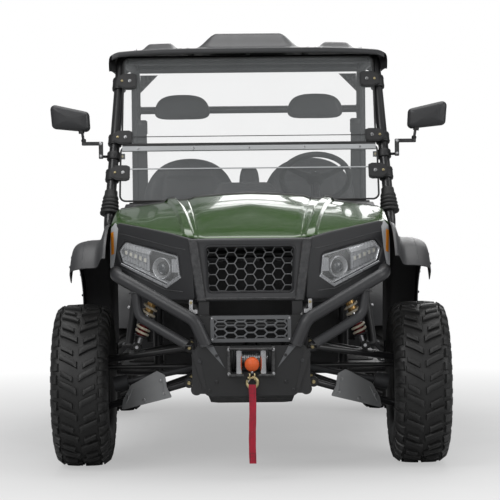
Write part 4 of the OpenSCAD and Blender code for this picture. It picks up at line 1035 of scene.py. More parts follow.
def corners(points, r, n=4):
    """An outline with rounded corners."""
    return [(p.x, p.z) for p in rounded([(a, 0, b) for a, b in points], r, n, closed=True)]


def rect(x0, x1, z0, z1, r, n=4):
    """A rectangle's outline with rounded corners."""
    return corners([(x0, z0), (x1, z0), (x1, z1), (x0, z1)], r, n)


def grown(points, k):
    """An outline moved out from its middle by k, each side parallel to itself."""
    n = len(points)
    area = sum(points[i][0] * points[(i + 1) % n][1] - points[(i + 1) % n][0] * points[i][1]
               for i in range(n))
    s = 1 if area > 0 else -1
    out = []
    for i in range(n):
        p, q, r = V(points[i - 1]), V(points[i]), V(points[(i + 1) % n])
        a, b = (q - p).normalized(), (r - q).normalized()
        na, nb = V((a.y, -a.x)) * s, V((b.y, -b.x)) * s
        m = (na + nb).normalized()
        out.append(tuple(q + m * k / max(0.3, m.dot(na))))
    return out


def ring(s, outline, steps, place, mat):
    """A moulding along an outline: steps are (growth, distance)."""
    rows = [[place(a, b, t) for a, b in grown(outline, g)] for g, t in steps]
    return s.grid(rows, mat, round_u=True)


def cap(s, outline, place, t, mat):
    """One flat face inside an outline."""
    pts = [place(a, b, t) for a, b in outline]
    return s.add(pts, [tuple(range(len(pts)))], mat)


def bridge(s, outer, inner, place, t_out, t_in, mat, rings=3):
    """A face between two closed outlines, sampled to the same number of points."""
    c = sum((V(p) for p in inner), V((0, 0))) / len(inner)
    n = 96

    def by_angle(pts):
        """The outline's crossing with each of n rays from the middle of the hole."""
        out = []
        m = len(pts)
        for k in range(n):
            a = 2 * pi * k / n
            d = V((cos(a), sin(a)))
            best = None
            for i in range(m):
                p, q = V(pts[i]) - c, V(pts[(i + 1) % m]) - c
                e = q - p
                den = d.x * e.y - d.y * e.x
                if abs(den) < 1e-12:
                    continue
                t = (p.x * e.y - p.y * e.x) / den
                u = (p.x * d.y - p.y * d.x) / den
                if t > 0 and -1e-9 <= u <= 1 + 1e-9 and (best is None or t > best):
                    best = t
            out.append(c + d * (best or 0.01))
        return out
    a, b = by_angle(outer), by_angle(inner)
    rows = []
    for k in range(rings + 1):
        t = k / rings
        rows.append([place(*p.lerp(q, t), mix(t_out, t_in, t)) for p, q in zip(a, b)])
    return s.grid(rows, mat, round_u=True)


face = Shape()
outer, hole = corners(SURROUND, 0.012), corners(HOLE, 0.012)
bridge(face, grown(outer, -0.010), grown(hole, 0.012), front, FY - 0.025, FY - 0.023, CHARCOAL)
ring(face, outer, [(-0.010, FY - 0.025), (-0.004, FY - 0.0235), (-0.0005, FY - 0.019), (0, FY - 0.012),
                   (0, FY + 0.014)], front, CHARCOAL)
ring(face, hole, [(0.012, FY - 0.023), (0.0085, FY - 0.0205), (0.007, FY - 0.0205), (0.0035, FY - 0.0235),
                  (0.001, FY - 0.021), (0, FY - 0.017), (-0.001, FY + 0.014)], front, CHARCOAL)
# The two bars that run down from the hood's ridges
for sx in (-1, 1):
    bar = [(sx * a, b) for a, b in ((0.205, 0.921), (0.2385, 0.921), (0.2045, 0.681), (0.172, 0.681))][::sx]
    cap(face, grown(bar, -0.004), front, FY - 0.0325, CHARCOAL)
    ring(face, bar, [(-0.004, FY - 0.0325), (-0.001, FY - 0.030), (0, FY - 0.022)], front, CHARCOAL)
    inner = [(sx * a, b) for a, b in ((0.196, 0.905), (0.2005, 0.905), (0.176, 0.700), (0.1715, 0.700))][::sx]
    cap(face, inner, front, FY - 0.0262, BLACK_PLASTIC)
# Lower lip of the surround
ring(face, [(-0.200, 0.694), (0.200, 0.694), (0.199, 0.686), (-0.199, 0.686)],
     [(0, FY - 0.024), (-0.001, FY - 0.0295), (-0.0035, FY - 0.0305)], front, CHARCOAL)
make("Grille_surround", face, "root", ["front_fascia"], angle=38)

wing = Shape()
panel, lamp = corners(SIDE, 0.012), corners(LAMP, 0.010)
socket = grown(lamp, 0.004)
bridge(wing, grown(panel, -0.005), grown(socket, 0.010), swept, 0.0, 0.0, CHARCOAL, 6)
ring(wing, panel, [(-0.005, 0.0), (-0.0015, 0.001), (0, 0.0045), (0, 0.012)], swept, CHARCOAL)
ring(wing, socket, [(0.010, 0.0), (0.004, 0.0015), (0.001, 0.005), (0, 0.010), (0, 0.030)], swept, CHARCOAL)
# A crease along the lower half and one above the lamp
for line, lift in (([(0.262, 0.716), (0.330, 0.722), (0.520, 0.808), (0.551, 0.830)], 0.0032),
                   ([(0.250, 0.880), (0.300, 0.888), (0.500, 0.938), (0.548, 0.944)], 0.0028)):
    pts = [V(swept(a, b, 0.0015)) for a, b in line]
    wing.tube(rounded(pts, 0.02, 4), lift, CHARCOAL, 8, flat=lift * 0.9)
# Skirt of the fascia under the lamp, rolling back
low = [(0.216, 0.684), (0.312, 0.684), (0.520, 0.772), (0.556, 0.800)]
wing.grid([[swept(a, b + 0.002, t) for a, b in low] for t in (0.004, 0.012)]
          + [[swept(a, b - 0.012, 0.026) for a, b in low], [swept(a, b - 0.016, 0.05) for a, b in low]],
          CHARCOAL)
# Light grey corner trim with its amber marker
trim_line = [(0.534, 0.985), (0.551, 0.964), (0.5565, 0.900), (0.5565, 0.806), (0.545, 0.798),
             (0.5385, 0.830), (0.530, 0.880), (0.521, 0.960)]
ring(wing, trim_line, [(0, 0.004), (-0.0008, -0.002), (-0.003, -0.0036)], swept, GREY_TRIM)
cap(wing, grown(trim_line, -0.003), swept, -0.0036, GREY_TRIM)
marker = [(0.5405, 0.948), (0.5495, 0.944), (0.5475, 0.858), (0.5385, 0.862)]
ring(wing, marker, [(0.0012, -0.003), (0.0008, -0.0058), (-0.0008, -0.0068)], swept, AMBER)
cap(wing, grown(marker, -0.0008), swept, -0.0068, AMBER)
wing.mirrored()
make("Fascia_wings", wing, "root", angle=38)

# ---- Headlights ----

light = Shape()
ring(light, lamp, [(0.0015, 0.030), (0.0015, 0.0055), (0.0, 0.0035), (-0.003, 0.0035), (-0.005, 0.006),
                   (-0.008, 0.026)], swept, SILVER)
back = grown(lamp, -0.008)
cap(light, back, swept, 0.034, BLACK_PLASTIC)
ring(light, back, [(0, 0.026), (0, 0.036)], swept, BLACK_PLASTIC)
# Projector in its bowl
pc = V(swept(0.352, 0.806, 0.0))
nrm = V((sin(SWEEP), -cos(SWEEP), 0))
light.lathe([(0.0375, -0.007), (0.036, -0.010), (0.031, -0.018), (0.026, -0.026), (0.0245, -0.026)], pc, nrm,
            REFLECTOR, 40)
light.lathe([(0.026, -0.028), (0.026, -0.016), (0.0225, -0.012), (0.021, -0.018)], pc, nrm, BLACK_PLASTIC, 40)
light.lathe([(0.0225, -0.018), (0.0205, -0.011), (0.014, -0.0065), (0.007, -0.0045), (0, -0.004)], pc, nrm,
            DIAL, 32)
light.lathe([(0.0385, -0.0075), (0.0405, -0.006), (0.0425, -0.008), (0.0425, -0.02)], pc, nrm, SILVER, 40)
# Fluted reflectors beside it
for k in range(9):
    a0, a1 = 0.402 + k * 0.0115, 0.402 + (k + 1) * 0.0115
    lo = lin([(0.278, 0.770), (0.325, 0.756), (0.506, 0.836)], a0)
    hi = lin([(0.286, 0.845), (0.494, 0.897)], a0)
    mid = (a0 + a1) / 2
    light.grid([[swept(a0, z, 0.012), swept(mid, z, 0.024), swept(a1 - 0.0012, z, 0.012)]
                for z in (lo + 0.004, (lo + hi) / 2, hi - 0.006)], REFLECTOR)
for k in range(4):
    a0 = 0.288 + k * 0.0066
    light.grid([[swept(a0, z, 0.014), swept(a0 + 0.003, z, 0.022), swept(a0 + 0.006, z, 0.014)]
                for z in (0.790, 0.842)], REFLECTOR)
# Row of small lamp cells and the shelf above them
for k in range(5):
    a = 0.412 + k * 0.0195
    z = 0.826 + k * 0.0072
    cell = [(a, z), (a + 0.0145, z + 0.0045), (a + 0.0135, z + 0.0235), (a - 0.001, z + 0.019)]
    ring(light, cell, [(0.001, 0.014), (0, 0.0095), (-0.002, 0.009)], swept, SILVER)
    cap(light, grown(cell, -0.002), swept, 0.0105, WARM_LED)
shelf = [(0.392, 0.878), (0.494, 0.9035), (0.507, 0.886), (0.400, 0.858)]
ring(light, shelf, [(0, 0.020), (0, 0.009), (-0.002, 0.008)], swept, REFLECTOR)
cap(light, grown(shelf, -0.002), swept, 0.008, REFLECTOR)
for k in range(8):
    a = 0.400 + k * 0.0125
    z0, z1 = lin([(0.400, 0.860), (0.507, 0.888)], a), lin([(0.392, 0.876), (0.494, 0.9015)], a)
    light.tube([swept(a, z0, 0.0072), swept(a, z1, 0.0072)], 0.0011, SILVER, 6)
# Bright lower bezel
bezel = [(0.5105, 0.826), (0.327, 0.7415), (0.276, 0.7735), (0.2745, 0.784), (0.2685, 0.770), (0.326, 0.729),
         (0.5145, 0.8175)]
ring(light, bezel, [(0, 0.006), (0, -0.001), (-0.0012, -0.0024)], swept, SILVER)
cap(light, grown(bezel, -0.0012), swept, -0.0024, SILVER)
light.mirrored()
make("Headlight_inners", light, "root", ["headlights"], angle=40)
lens = Shape()
glass_line = corners(LAMP, 0.010)
ring(lens, glass_line, [(-0.0005, 0.006), (-0.001, 0.0035), (-0.004, 0.0015)], swept, LENS)
cap(lens, grown(glass_line, -0.004), swept, 0.0015, LENS)
lens.mirrored()
make("Headlight_lenses", lens, "root", angle=50)

# ---- Grille meshes ----


def honeycomb(s, x0, x1, z0, z1, y, across, tall, wire, mat):
    """Wires along the edges of flat-topped hexagons, cut to a box. The columns lie `across` apart."""
    cx, cz = (x0 + x1) / 2, (z0 + z1) / 2
    half = across * 2 / 3
    cols, rows = int((x1 - x0) / across / 2) + 2, int((z1 - z0) / tall / 2) + 2
    done = set()
    for c in range(-cols, cols + 1):
        for r in range(-rows, rows + 1):
            hx, hz = cx + across * c, cz + tall * (r + (0.5 if c % 2 else 0))
            hexa = [(hx + half * u, hz + tall / 2 * w)
                    for u, w in ((1, 0), (0.5, 1), (-0.5, 1), (-1, 0), (-0.5, -1), (0.5, -1))]
            for i in range(6):
                p, q = hexa[i], hexa[(i + 1) % 6]
                key = tuple(sorted(((round(p[0], 4), round(p[1], 4)), (round(q[0], 4), round(q[1], 4)))))
                if key in done:
                    continue
                done.add(key)
                a, b = V(p), V(q)
                t0, t1 = 0.0, 1.0
                for axis, lo, hi in ((0, x0, x1), (1, z0, z1)):
                    d = b[axis] - a[axis]
                    if abs(d) < 1e-9:
                        if not lo <= a[axis] <= hi:
                            t1 = -1
                        continue
                    u0, u1 = sorted(((lo - a[axis]) / d, (hi - a[axis]) / d))
                    t0, t1 = max(t0, u0), min(t1, u1)
                if t1 - t0 > 0.02:
                    p, q = a.lerp(b, t0), a.lerp(b, t1)
                    s.tube([(p.x, y, p.y), (q.x, y, q.y)], wire, mat, 6, flat=wire * 1.6)


mesh = Shape()
honeycomb(mesh, -0.170, 0.170, 0.716, 0.890, FY + 0.018, 0.0365, 0.0425, 0.0014, GREY_WIRE)
honeycomb(mesh, -0.170, 0.170, 0.716, 0.890, FY + 0.0205, 0.0365, 0.0425, 0.0012, MESH_BLACK)
for a, b in (((-0.172, 0.712), (0.172, 0.716)), ((-0.172, 0.890), (0.172, 0.894))):
    mesh.box((a[0], FY + 0.0153, a[1]), (b[0], FY + 0.0213, b[1]), MESH_BLACK)
for sx in (-1, 1):
    mesh.box((sx * 0.170, FY + 0.0153, 0.712), (sx * 0.175, FY + 0.0213, 0.894), MESH_BLACK)
make("Grille_honeycomb", mesh, "root", ["grille_mesh"], angle=50, weld=False)


# ---- Fenders, plates and suspension ----


def sq(c, n=2.6):
    return (1 if c >= 0 else -1) * abs(c) ** (2 / n)


def arch_shell(s, axle, length, height, profile, a0, a1, thick, share=lambda t, x, off: 1.0, steps=56):
    """A flare over a wheel: a profile of (x, offset) carried round an arch."""
    rows_out, rows_in = [], []
    for i in range(steps + 1):
        t = radians(mix(a0, a1, i / steps))
        n = V((-cos(t) / length, sin(t) / height)).normalized()
        base = V((axle - length * sq(cos(t)), WHEEL_Z + height * sq(sin(t))))
        row_o, row_i = [], []
        for x, off in profile:
            k = share(degrees(t), x, off)
            p = base + n * off * k
            q = base + n * (off * k - thick)
            row_o.append((x, p.x, p.y))
            # The inner skin stays behind the lip
            row_i.append((min(x, profile[-1][0] - 0.004) if x > 0.69 else x, q.x, q.y))
        rows_out.append(row_o)
        rows_in.append(row_i)
    s.grid(rows_out, CHARCOAL)
    s.grid(rows_in, BLACK_PLASTIC)
    for k in (-1, 0):
        s.grid([[r[k] for r in rows_out], [r[k] for r in rows_in]], CHARCOAL)
    for k in (0, -1):
        s.grid([rows_out[k], rows_in[k]], CHARCOAL)
    return rows_out


def front_share(t, x, off):
    """The flare's lip and crown fade out toward its rear foot."""
    fade = 1 - smoothstep(112, 172, t)
    if off > 0:
        return fade
    return max(0.4, fade) if x > 0.70 else 1.0


s = Shape()
prof = smooth_line([(0.562, 0, 0.060), (0.578, 0, 0.058), (0.594, 0, 0.010), (0.612, 0, 0.000),
                    (0.640, 0, -0.001), (0.670, 0, -0.006), (0.688, 0, -0.012), (0.701, 0, -0.022),
                    (0.7075, 0, -0.038), (0.708, 0, -0.066), (0.7075, 0, -0.094)], 2)
rows = arch_shell(s, -0.998, 0.386, 0.5875, [(p.x, p.z) for p in prof], 51, 171, 0.005, front_share)
# Moulded step along the crown, and the bolts that hold the lip
crown = [r[len(r) // 2 - 1] for r in rows]
s.tube([V(p) + V((0, 0, -0.0005)) for p in crown[2:-6]], 0.0022, CHARCOAL, 8, flat=0.0012)
for i in range(4, len(rows) - 8, 7):
    p, q = V(rows[i][-2]), V(rows[i][-4])
    s.bolt((0.7078, (p.y + q.y) / 2, (p.z + q.z) / 2 + 0.010), (1, 0, 0), 0.010, BLACK_PLASTIC)
s.mirrored()
make("Front_fender_flares", s, "root", ("front_fenders",), angle=48, weld=False)

s = Shape()
prof = smooth_line([(0.472, 0, 0.0), (0.560, 0, 0.0), (0.600, 0, 0.0), (0.640, 0, 0.0), (0.672, 0, -0.001),
                    (0.698, 0, -0.004), (0.7065, 0, -0.012), (0.708, 0, -0.031)], 2)
rows = arch_shell(s, 0.930, 0.386, 0.3865, [(p.x, p.z) for p in prof], 13, 165, 0.0045)
for i in range(6, len(rows) - 4, 11):
    p = V(rows[i][4])
    s.bolt(p, (0, p.y - 0.930, p.z - WHEEL_Z), 0.012, STEEL)
s.mirrored()
make("Rear_fender_flares", s, "root", ("rear_fenders",), angle=48, weld=False)

BUMPER_Y = -1.3783
# Bumper plate with its mesh panel
s = Shape()
outer = [(-0.210, 0.627), (0.210, 0.627), (0.205, 0.560), (0.175, 0.524), (-0.175, 0.524), (-0.205, 0.560)]
inner = [(-0.145, 0.614), (0.145, 0.614), (0.145, 0.575), (0.145, 0.536), (-0.145, 0.536), (-0.145, 0.575)]
s.frame(outer, inner, front, BUMPER_Y, -1.3703, PLATE_PAINT)
fo = rect(-0.155, 0.155, 0.626, 0.524, 0.010)
fi = rect(-0.141, 0.141, 0.612, 0.538, 0.008)
s.frame(fo, fi, front, -1.3843, -1.3784, FRAME_GREY)
s.frame(grown(fi, 0.004), grown(fi, -0.0015), front, -1.3832, -1.3790, BLACK_PLASTIC)
for x in (-0.148, 0.148):
    for z in (0.535, 0.616):
        s.bolt((x, -1.3843, z), (0, -1, 0), 0.007, STEEL)
for x in (-0.182, 0.182):
    s.bolt((x, BUMPER_Y, 0.592), (0, -1, 0), 0.011, BLACK_PAINT)
    s.bolt((x, BUMPER_Y, 0.556), (0, -1, 0), 0.011, BLACK_PAINT)
honeycomb(s, -0.143, 0.143, 0.536, 0.614, -1.3815, 0.0385, 0.0285, 0.0022, FRAME_GREY)
honeycomb(s, -0.143, 0.143, 0.536, 0.614, -1.3795, 0.0385, 0.0285, 0.0016, MESH_BLACK)
make("Bumper_plate", s, "root", ("bumper_plate",), bevel=0.0008, angle=40, weld=False)

# Brackets in the gap over the plate
s = Shape()
for sx in (-1, 1):
    s.prism(corners([(sx * 0.205, 0.634), (sx * 0.236, 0.634), (sx * 0.236, 0.688), (sx * 0.222, 0.688),
                     (sx * 0.222, 0.650), (sx * 0.205, 0.650)], 0.003, 3), front, -1.366, -1.360, STEEL)
    s.bolt((sx * 0.229, -1.366, 0.676), (0, -1, 0), 0.009, ZINC)
make("Bumper_brackets", s, "root", angle=40, weld=False)

PLATE_Y = -1.4203
# Winch plate: face with the fairlead window, folded ears and the skid below
s = Shape()
outer = [(-0.229, 0.480), (-0.205, 0.513), (0.0, 0.513), (0.205, 0.513), (0.229, 0.480), (0.206, 0.408),
         (0.183, 0.335), (0.165, 0.322), (0.0, 0.322), (-0.165, 0.322), (-0.183, 0.335), (-0.206, 0.408)]
inner = [(-0.076, 0.470), (-0.066, 0.505), (0.0, 0.505), (0.066, 0.505), (0.076, 0.470), (0.076, 0.430),
         (0.076, 0.412), (0.066, 0.402), (0.0, 0.402), (-0.066, 0.402), (-0.076, 0.412), (-0.076, 0.430)]
s.frame(outer, inner, front, PLATE_Y, -1.4125, PLATE_PAINT)
for sx in (-1, 1):
    # Pressed ribs and folded ears
    s.prism([(sx * 0.172, 0.512), (sx * 0.143, 0.512), (sx * 0.100, 0.428)], front, -1.4245, -1.4195,
            FRAME_GREY)
    s.prism([(sx * 0.204, 0.500), (sx * 0.224, 0.478), (sx * 0.182, 0.344), (sx * 0.170, 0.352)], front,
            -1.4222, -1.4195, BLACK_PAINT)
    s.bolt((sx * 0.196, PLATE_Y, 0.455), (0, -1, 0), 0.015, IRON)
    s.bolt((sx * 0.132, PLATE_Y, 0.477), (0, -1, 0), 0.013, BLACK_PAINT)
    s.bolt((sx * 0.132, PLATE_Y, 0.376), (0, -1, 0), 0.013, BLACK_PAINT)
    s.bolt((sx * 0.160, PLATE_Y, 0.345), (0, -1, 0), 0.011, BLACK_PAINT)


def skid(a, b, t):
    """The skid plate turned 12 degrees under the nose."""
    c, d = cos(radians(-12)), sin(radians(-12))
    return (a, PLATE_Y + b * c - t * d, 0.322 + b * d + t * c)


pts = corners([(-0.164, 0.0), (0.164, 0.0), (0.160, 0.230), (0.130, 0.258), (-0.130, 0.258), (-0.160, 0.230)],
              0.008, 4)
s.prism(pts, skid, 0.0, 0.0058, PLATE_PAINT)
for x in (-0.11, -0.04, 0.04, 0.11):
    s.prism(rect(x - 0.012, x + 0.012, 0.06, 0.20, 0.010), skid, -0.0012, 0.001, BLACK_PAINT)
make("Winch_plate", s, "root", ("winch_plate",), bevel=0.0009, angle=35, weld=False)

# Guards on the lower arms
s = Shape()
GT = atan2(0.130, 0.3612)


def guard(a, b, t):
    """A guard outline drawn from the front, on its swept plane."""
    u = (a - 0.2473) / cos(GT)
    return (0.2473 + u * cos(GT) - t * sin(GT), -1.120 + u * sin(GT) + t * cos(GT), b)


pts = corners([(0.372, 0.390), (0.340, 0.374), (0.332, 0.326), (0.312, 0.286), (0.520, 0.228), (0.512, 0.270),
               (0.480, 0.330)], 0.006, 4)
s.prism(pts, guard, -0.0173, -0.0135, ALUMINIUM)
for a, b in (((0.352, 0.366), (0.345, 0.305)), ((0.470, 0.318), (0.500, 0.256))):
    s.tube([guard(*a, -0.0178), guard(*b, -0.0178)], 0.0022, ALUMINIUM, 8)
for a, b in ((0.356, 0.352), (0.345, 0.300), (0.492, 0.282), (0.425, 0.272)):
    s.bolt(guard(a, b, -0.0173), V(guard(0, 0, -1)) - V(guard(0, 0, 0)), 0.011, STEEL)
s.mirrored()
make("Arm_guards", s, "root", ("arm_guards",), bevel=0.0006, angle=40, weld=False)

# Bushings and ball joints on the suspension arms
s = Shape()
for y0 in (-1.120, -0.860, 0.800, 1.060):
    for x, z in ((0.2443, 0.485), (0.2473, 0.345)):
        s.lathe([(0.0, -0.021), (0.011, -0.021), (0.011, -0.019), (0.0195, -0.019), (0.0205, -0.016),
                 (0.0205, 0.016), (0.0195, 0.019), (0.011, 0.019), (0.011, 0.021), (0.0, 0.021)], (x, y0, z),
                (0, 1, 0), RUBBER, 28)
        s.bolt((x, y0 - 0.0205, z), (0, -1, 0), 0.012, ZINC)
for x, y, z in ((0.6085, -0.990, 0.4245), (0.6085, -0.990, 0.2305)):
    s.lathe([(0.0, -0.022), (0.013, -0.021), (0.018, -0.014), (0.019, 0.0), (0.018, 0.010), (0.0125, 0.018),
             (0.0125, 0.021), (0.0, 0.022)], (x, y, z), (0, 0, 1), IRON, 28)
for x, y, z in ((0.5755, 0.930, 0.4115), (0.5755, 0.930, 0.2435)):
    s.lathe([(0.0, -0.036), (0.012, -0.036), (0.0185, -0.032), (0.0185, 0.032), (0.012, 0.036), (0.0, 0.036)],
            (x, y, z), (0, 1, 0), IRON, 28)
s.mirrored()
make("Arm_bushings", s, "root", angle=45, weld=False)


# ---- Seats ----


def block_mesh(name, half, power, cells):
    """A rounded block: a subdivided cube drawn onto a superellipsoid."""
    bm = bmesh.new()
    bmesh.ops.create_cube(bm, size=2)
    bmesh.ops.subdivide_edges(bm, edges=bm.edges, cuts=cells, use_grid_fill=True)
    for v in bm.verts:
        n = sum(abs(c) ** power for c in v.co) ** (1 / power)
        v.co = V([c / n * h for c, h in zip(v.co, half)])
    mesh = bpy.data.meshes.new(name)
    bm.to_mesh(mesh)
    bm.free()
    obj = bpy.data.objects.new(name, mesh)
    scene.collection.objects.link(obj)
    return obj


def apply_all(obj):
    """Replaces a mesh by itself with its modifiers applied."""
    bpy.context.view_layer.update()
    deps = bpy.context.evaluated_depsgraph_get()
    done = bpy.data.meshes.new_from_object(obj.evaluated_get(deps))
    obj.modifiers.clear()
    old, obj.data = obj.data, done
    bpy.data.meshes.remove(old)


def puff(obj, voxel, limit, pressure=4.0, frames=20):
    """Swells a pad with cloth under pressure. No point moves further than the limit."""
    r = obj.modifiers.new("Even", "REMESH")
    r.mode, r.voxel_size = "VOXEL", voxel
    apply_all(obj)
    rest = [v.co.copy() for v in obj.data.vertices]
    c = obj.modifiers.new("Cloth", "CLOTH")
    c.settings.quality = 4
    c.settings.mass = 0.3
    c.settings.tension_stiffness = c.settings.compression_stiffness = 18
    c.settings.bending_stiffness = 2.5
    c.settings.use_pressure, c.settings.uniform_pressure_force = True, pressure
    c.settings.effector_weights.gravity = 0
    c.collision_settings.use_collision = False
    c.point_cache.frame_start, c.point_cache.frame_end = 1, frames
    for f in range(1, frames + 1):
        scene.frame_set(f)
    bpy.context.view_layer.update()
    deps = bpy.context.evaluated_depsgraph_get()
    swollen = obj.evaluated_get(deps).to_mesh()
    moved = [v.co.copy() for v in swollen.vertices]
    obj.modifiers.clear()
    for v, a, b in zip(obj.data.vertices, rest, moved):
        d = b - a
        if d.length > limit:
            d *= limit / d.length
        v.co = a + d
    scene.frame_set(1)


def relax(obj, times):
    """Evens out a pad's surface."""
    s = obj.modifiers.new("Relax", "SMOOTH")
    s.factor, s.iterations = 0.5, times
    apply_all(obj)


def shape_by(obj, turn):
    """Moves each point of a mesh by a function."""
    for v in obj.data.vertices:
        v.co = turn(v.co)


def sew(obj, paths, depth, width, stitch, lift=0.0004):
    """Presses seams into a pad along paths and lays their stitches in them."""
    tree = BVHTree.FromPolygons([v.co for v in obj.data.vertices], [p.vertices for p in obj.data.polygons])
    on = []
    for path in paths:
        line = []
        for p in smooth_line(path, 10):
            line.append(tree.find_nearest(p)[:2])
        on.append(line)
    kd = KDTree(sum(len(l) for l in on))
    i = 0
    for l in on:
        for p, _ in l:
            kd.insert(p, i)
            i += 1
    kd.balance()
    normals = [v.normal.copy() for v in obj.data.vertices]
    for v, n in zip(obj.data.vertices, normals):
        d = kd.find(v.co)[2]
        if d < width:
            t = 1 - d / width
            v.co -= n * depth * t * t * (3 - 2 * t)
    thread = Shape()
    for l in on:
        for (p, n), (q, m) in zip(l, l[1:]):
            step = (q - p).length
            if step < 1e-6:
                continue
            a, b = p - n * (depth - lift), q - m * (depth - lift)
            thread.tube([a.lerp(b, 0.08), a.lerp(b, 0.5) + n * 0.0003, a.lerp(b, 0.92)], stitch, THREAD, 5)
    return thread


def piping(obj, path, r):
    """A closed welt along a path, on the pad's surface."""
    tree = BVHTree.FromPolygons([v.co for v in obj.data.vertices], [p.vertices for p in obj.data.polygons])
    s = Shape()
    pts = []
    for p in path:
        hit = tree.find_nearest(p)
        pts.append(hit[0] + hit[1] * r * 0.25)
    pts.append(pts[0])
    s.tube(smooth_line(pts, 3), r, SEAT_BAND, 8, caps=False)
    return s


def loop(a, b, place, power=6.0, n=64):
    """Points round a rounded rectangle of half sizes a and b."""
    out = []
    for i in range(n):
        t = 2 * pi * i / n
        c, s = cos(t), sin(t)
        k = (abs(c) ** power + abs(s) ** power) ** (-1 / power)
        out.append(V(place(a * c * k, b * s * k)))
    return out


def finish_pad(name, obj, extras, place, node_name, smooth_levels=0,
               hands=(("left", 1), ("right", -1))):
    """Sets a pad and its mirror image in the car, each with its seams."""
    for hand, sx in hands:
        mesh = obj.data.copy()
        piece = bpy.data.objects.new(f"{name}_{hand}", mesh)
        scene.collection.objects.link(piece)
        mesh.transform(place)
        if sx < 0:
            mesh.transform(Matrix.Scale(-1, 4, (1, 0, 0)))
            mesh.flip_normals()
        mesh.materials.clear()
        mesh.materials.append(SEAT_VINYL)
        for p in mesh.polygons:
            p.use_smooth = True
            p.material_index = 0
        if smooth_levels:
            m = piece.modifiers.new("Smooth", "SUBSURF")
            m.levels = m.render_levels = smooth_levels
        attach(piece, "root")
        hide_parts(node_name)
        more = Shape()
        for e in extras:
            copy = Shape()
            placed = [place @ V(p) for p in e.v]
            copy.v = [tuple(V((p.x * sx, p.y, p.z))) for p in placed]
            copy.f = [f if sx > 0 else f[::-1] for f in e.f]
            copy.m, copy.mats = list(e.m), list(e.mats)
            more.join(copy)
        make(f"{name}_seams_{hand}", more, "root", angle=80, weld=False)
    bpy.data.objects.remove(obj)


# Seat cushions: crowned, with raised side bolsters and a fluted middle
lo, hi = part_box("seat_cushions")
depth_y, thick = hi.y - lo.y, hi.z - lo.z
hx, hy, hz = 0.228, depth_y / 2 - 0.008, thick / 2 - 0.008
c = block_mesh("cushion_form", (hx, hy, hz), 5.0, 24)


def cushion_form(p):
    top = smoothstep(-0.2 * hz, hz, p.z)
    side_lift = smoothstep(0.55, 0.9, abs(p.x) / hx)
    z = p.z - top * (0.014 * (1 - side_lift)) + top * 0.006 * cos(p.y / hy * pi / 2)
    z -= top * 0.016 * smoothstep(-0.6, -1.0, p.y / hy)
    waist = 1 - 0.02 * cos(p.y / hy * pi) * (1 - top)
    return V((p.x * waist, p.y, z))


shape_by(c, cushion_form)
puff(c, 0.006, 0.010)
relax(c, 3)
for v in c.data.vertices:
    v.co.z = max(v.co.z, -thick / 2 + 0.001)
channels = [[(x, mix(-hy * 0.86, hy * 0.9, k / 8), hz) for k in range(9)] for x in (-0.128, 0.128)]
channels += [[(mix(-0.120, 0.120, k / 6), y, hz) for k in range(7)] for y in (-0.10, 0.0, 0.10)]
seams = sew(c, channels, 0.005, 0.016, 0.0007)
welt = piping(c, loop(hx * 0.955, hy * 0.955, lambda a, b: (a, b, hz * 0.55)), 0.0032)
place = Matrix.Translation((0.285, (lo.y + hi.y) / 2, (lo.z + hi.z) / 2))
finish_pad("Seat_cushion", c, [seams, welt], place, "seat_cushions")

# Seat backs: domed top edge, side bolsters, channels across
BACK, BACK_H = radians(9), 0.545


def leaning(x, y, z):
    """The place of a back: it stands on its lower front edge and leans to the rear."""
    return (Matrix.Translation((x, 0.260, 0.757)) @ Matrix.Rotation(-BACK, 4, "X")
            @ Matrix.Translation((0, y, z)))


hz = BACK_H / 2 - 0.006
c = block_mesh("back_form", (0.226, 0.044 - 0.006, hz), 4.6, 26)


def back_form(p):
    t = p.z / hz
    front_side = smoothstep(0.01, -0.03, p.y)
    side_lift = smoothstep(0.55, 0.88, abs(p.x) / 0.226)
    y = p.y - front_side * (0.004 * side_lift * (1 - smoothstep(0.4, 0.95, t)) - 0.010 * (1 - side_lift)
                            * (1 - abs(t) ** 3))
    z = p.z - smoothstep(0.1, 1.0, t) * 0.060 * (p.x / 0.21) ** 2
    x = p.x * (1 - 0.05 * smoothstep(0.2, 1.0, t) - 0.03 * smoothstep(-0.3, -1.0, t))
    return V((x, y, z))


shape_by(c, back_form)
puff(c, 0.006, 0.008)
relax(c, 3)
channels = [[(sx * mix(0.118, 0.135, sin(pi * k / 9)), -0.05, mix(-hz * 0.84, hz * 0.72, k / 9))
             for k in range(10)] for sx in (-1, 1)]
channels += [[(mix(-0.115, 0.115, k / 6), -0.05, z) for k in range(7)] for z in (-0.15, -0.045, 0.06, 0.155)]
seams = sew(c, channels, 0.0045, 0.015, 0.0007)
welt = piping(c, loop(0.213, hz * 0.94, lambda a, b: (a * (1 - 0.05 * smoothstep(0.2, 1, b / hz)), -0.024,
                                                      b - smoothstep(0.1, 1.0, b / hz) * 0.060
                                                      * (a / 0.21) ** 2)), 0.003)
finish_pad("Seat_back", c, [seams, welt], leaning(0.285, 0.044, BACK_H / 2), "seat_backs")

# The narrow pad between the backs
c = block_mesh("middle_form", (0.048, 0.034, 0.2425), 6.0, 16)
puff(c, 0.005, 0.003)
relax(c, 2)
seams = sew(c, [[(x, -0.05, mix(-0.22, 0.22, k / 8)) for k in range(9)] for x in (-0.028, 0.028)], 0.002,
            0.008, 0.0006)
finish_pad("Seat_back", c, [seams], leaning(0, 0.050, 0.2435), "seat_backs", hands=(("middle", 1),))

# Headrests: narrower above, with two lobes below
lo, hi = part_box("headrests")
hz = (hi.z - lo.z) / 2 - 0.003
hy = (hi.y - lo.y) / 2 - 0.004
c = block_mesh("headrest_form", (0.135, hy, hz), 3.6, 18)


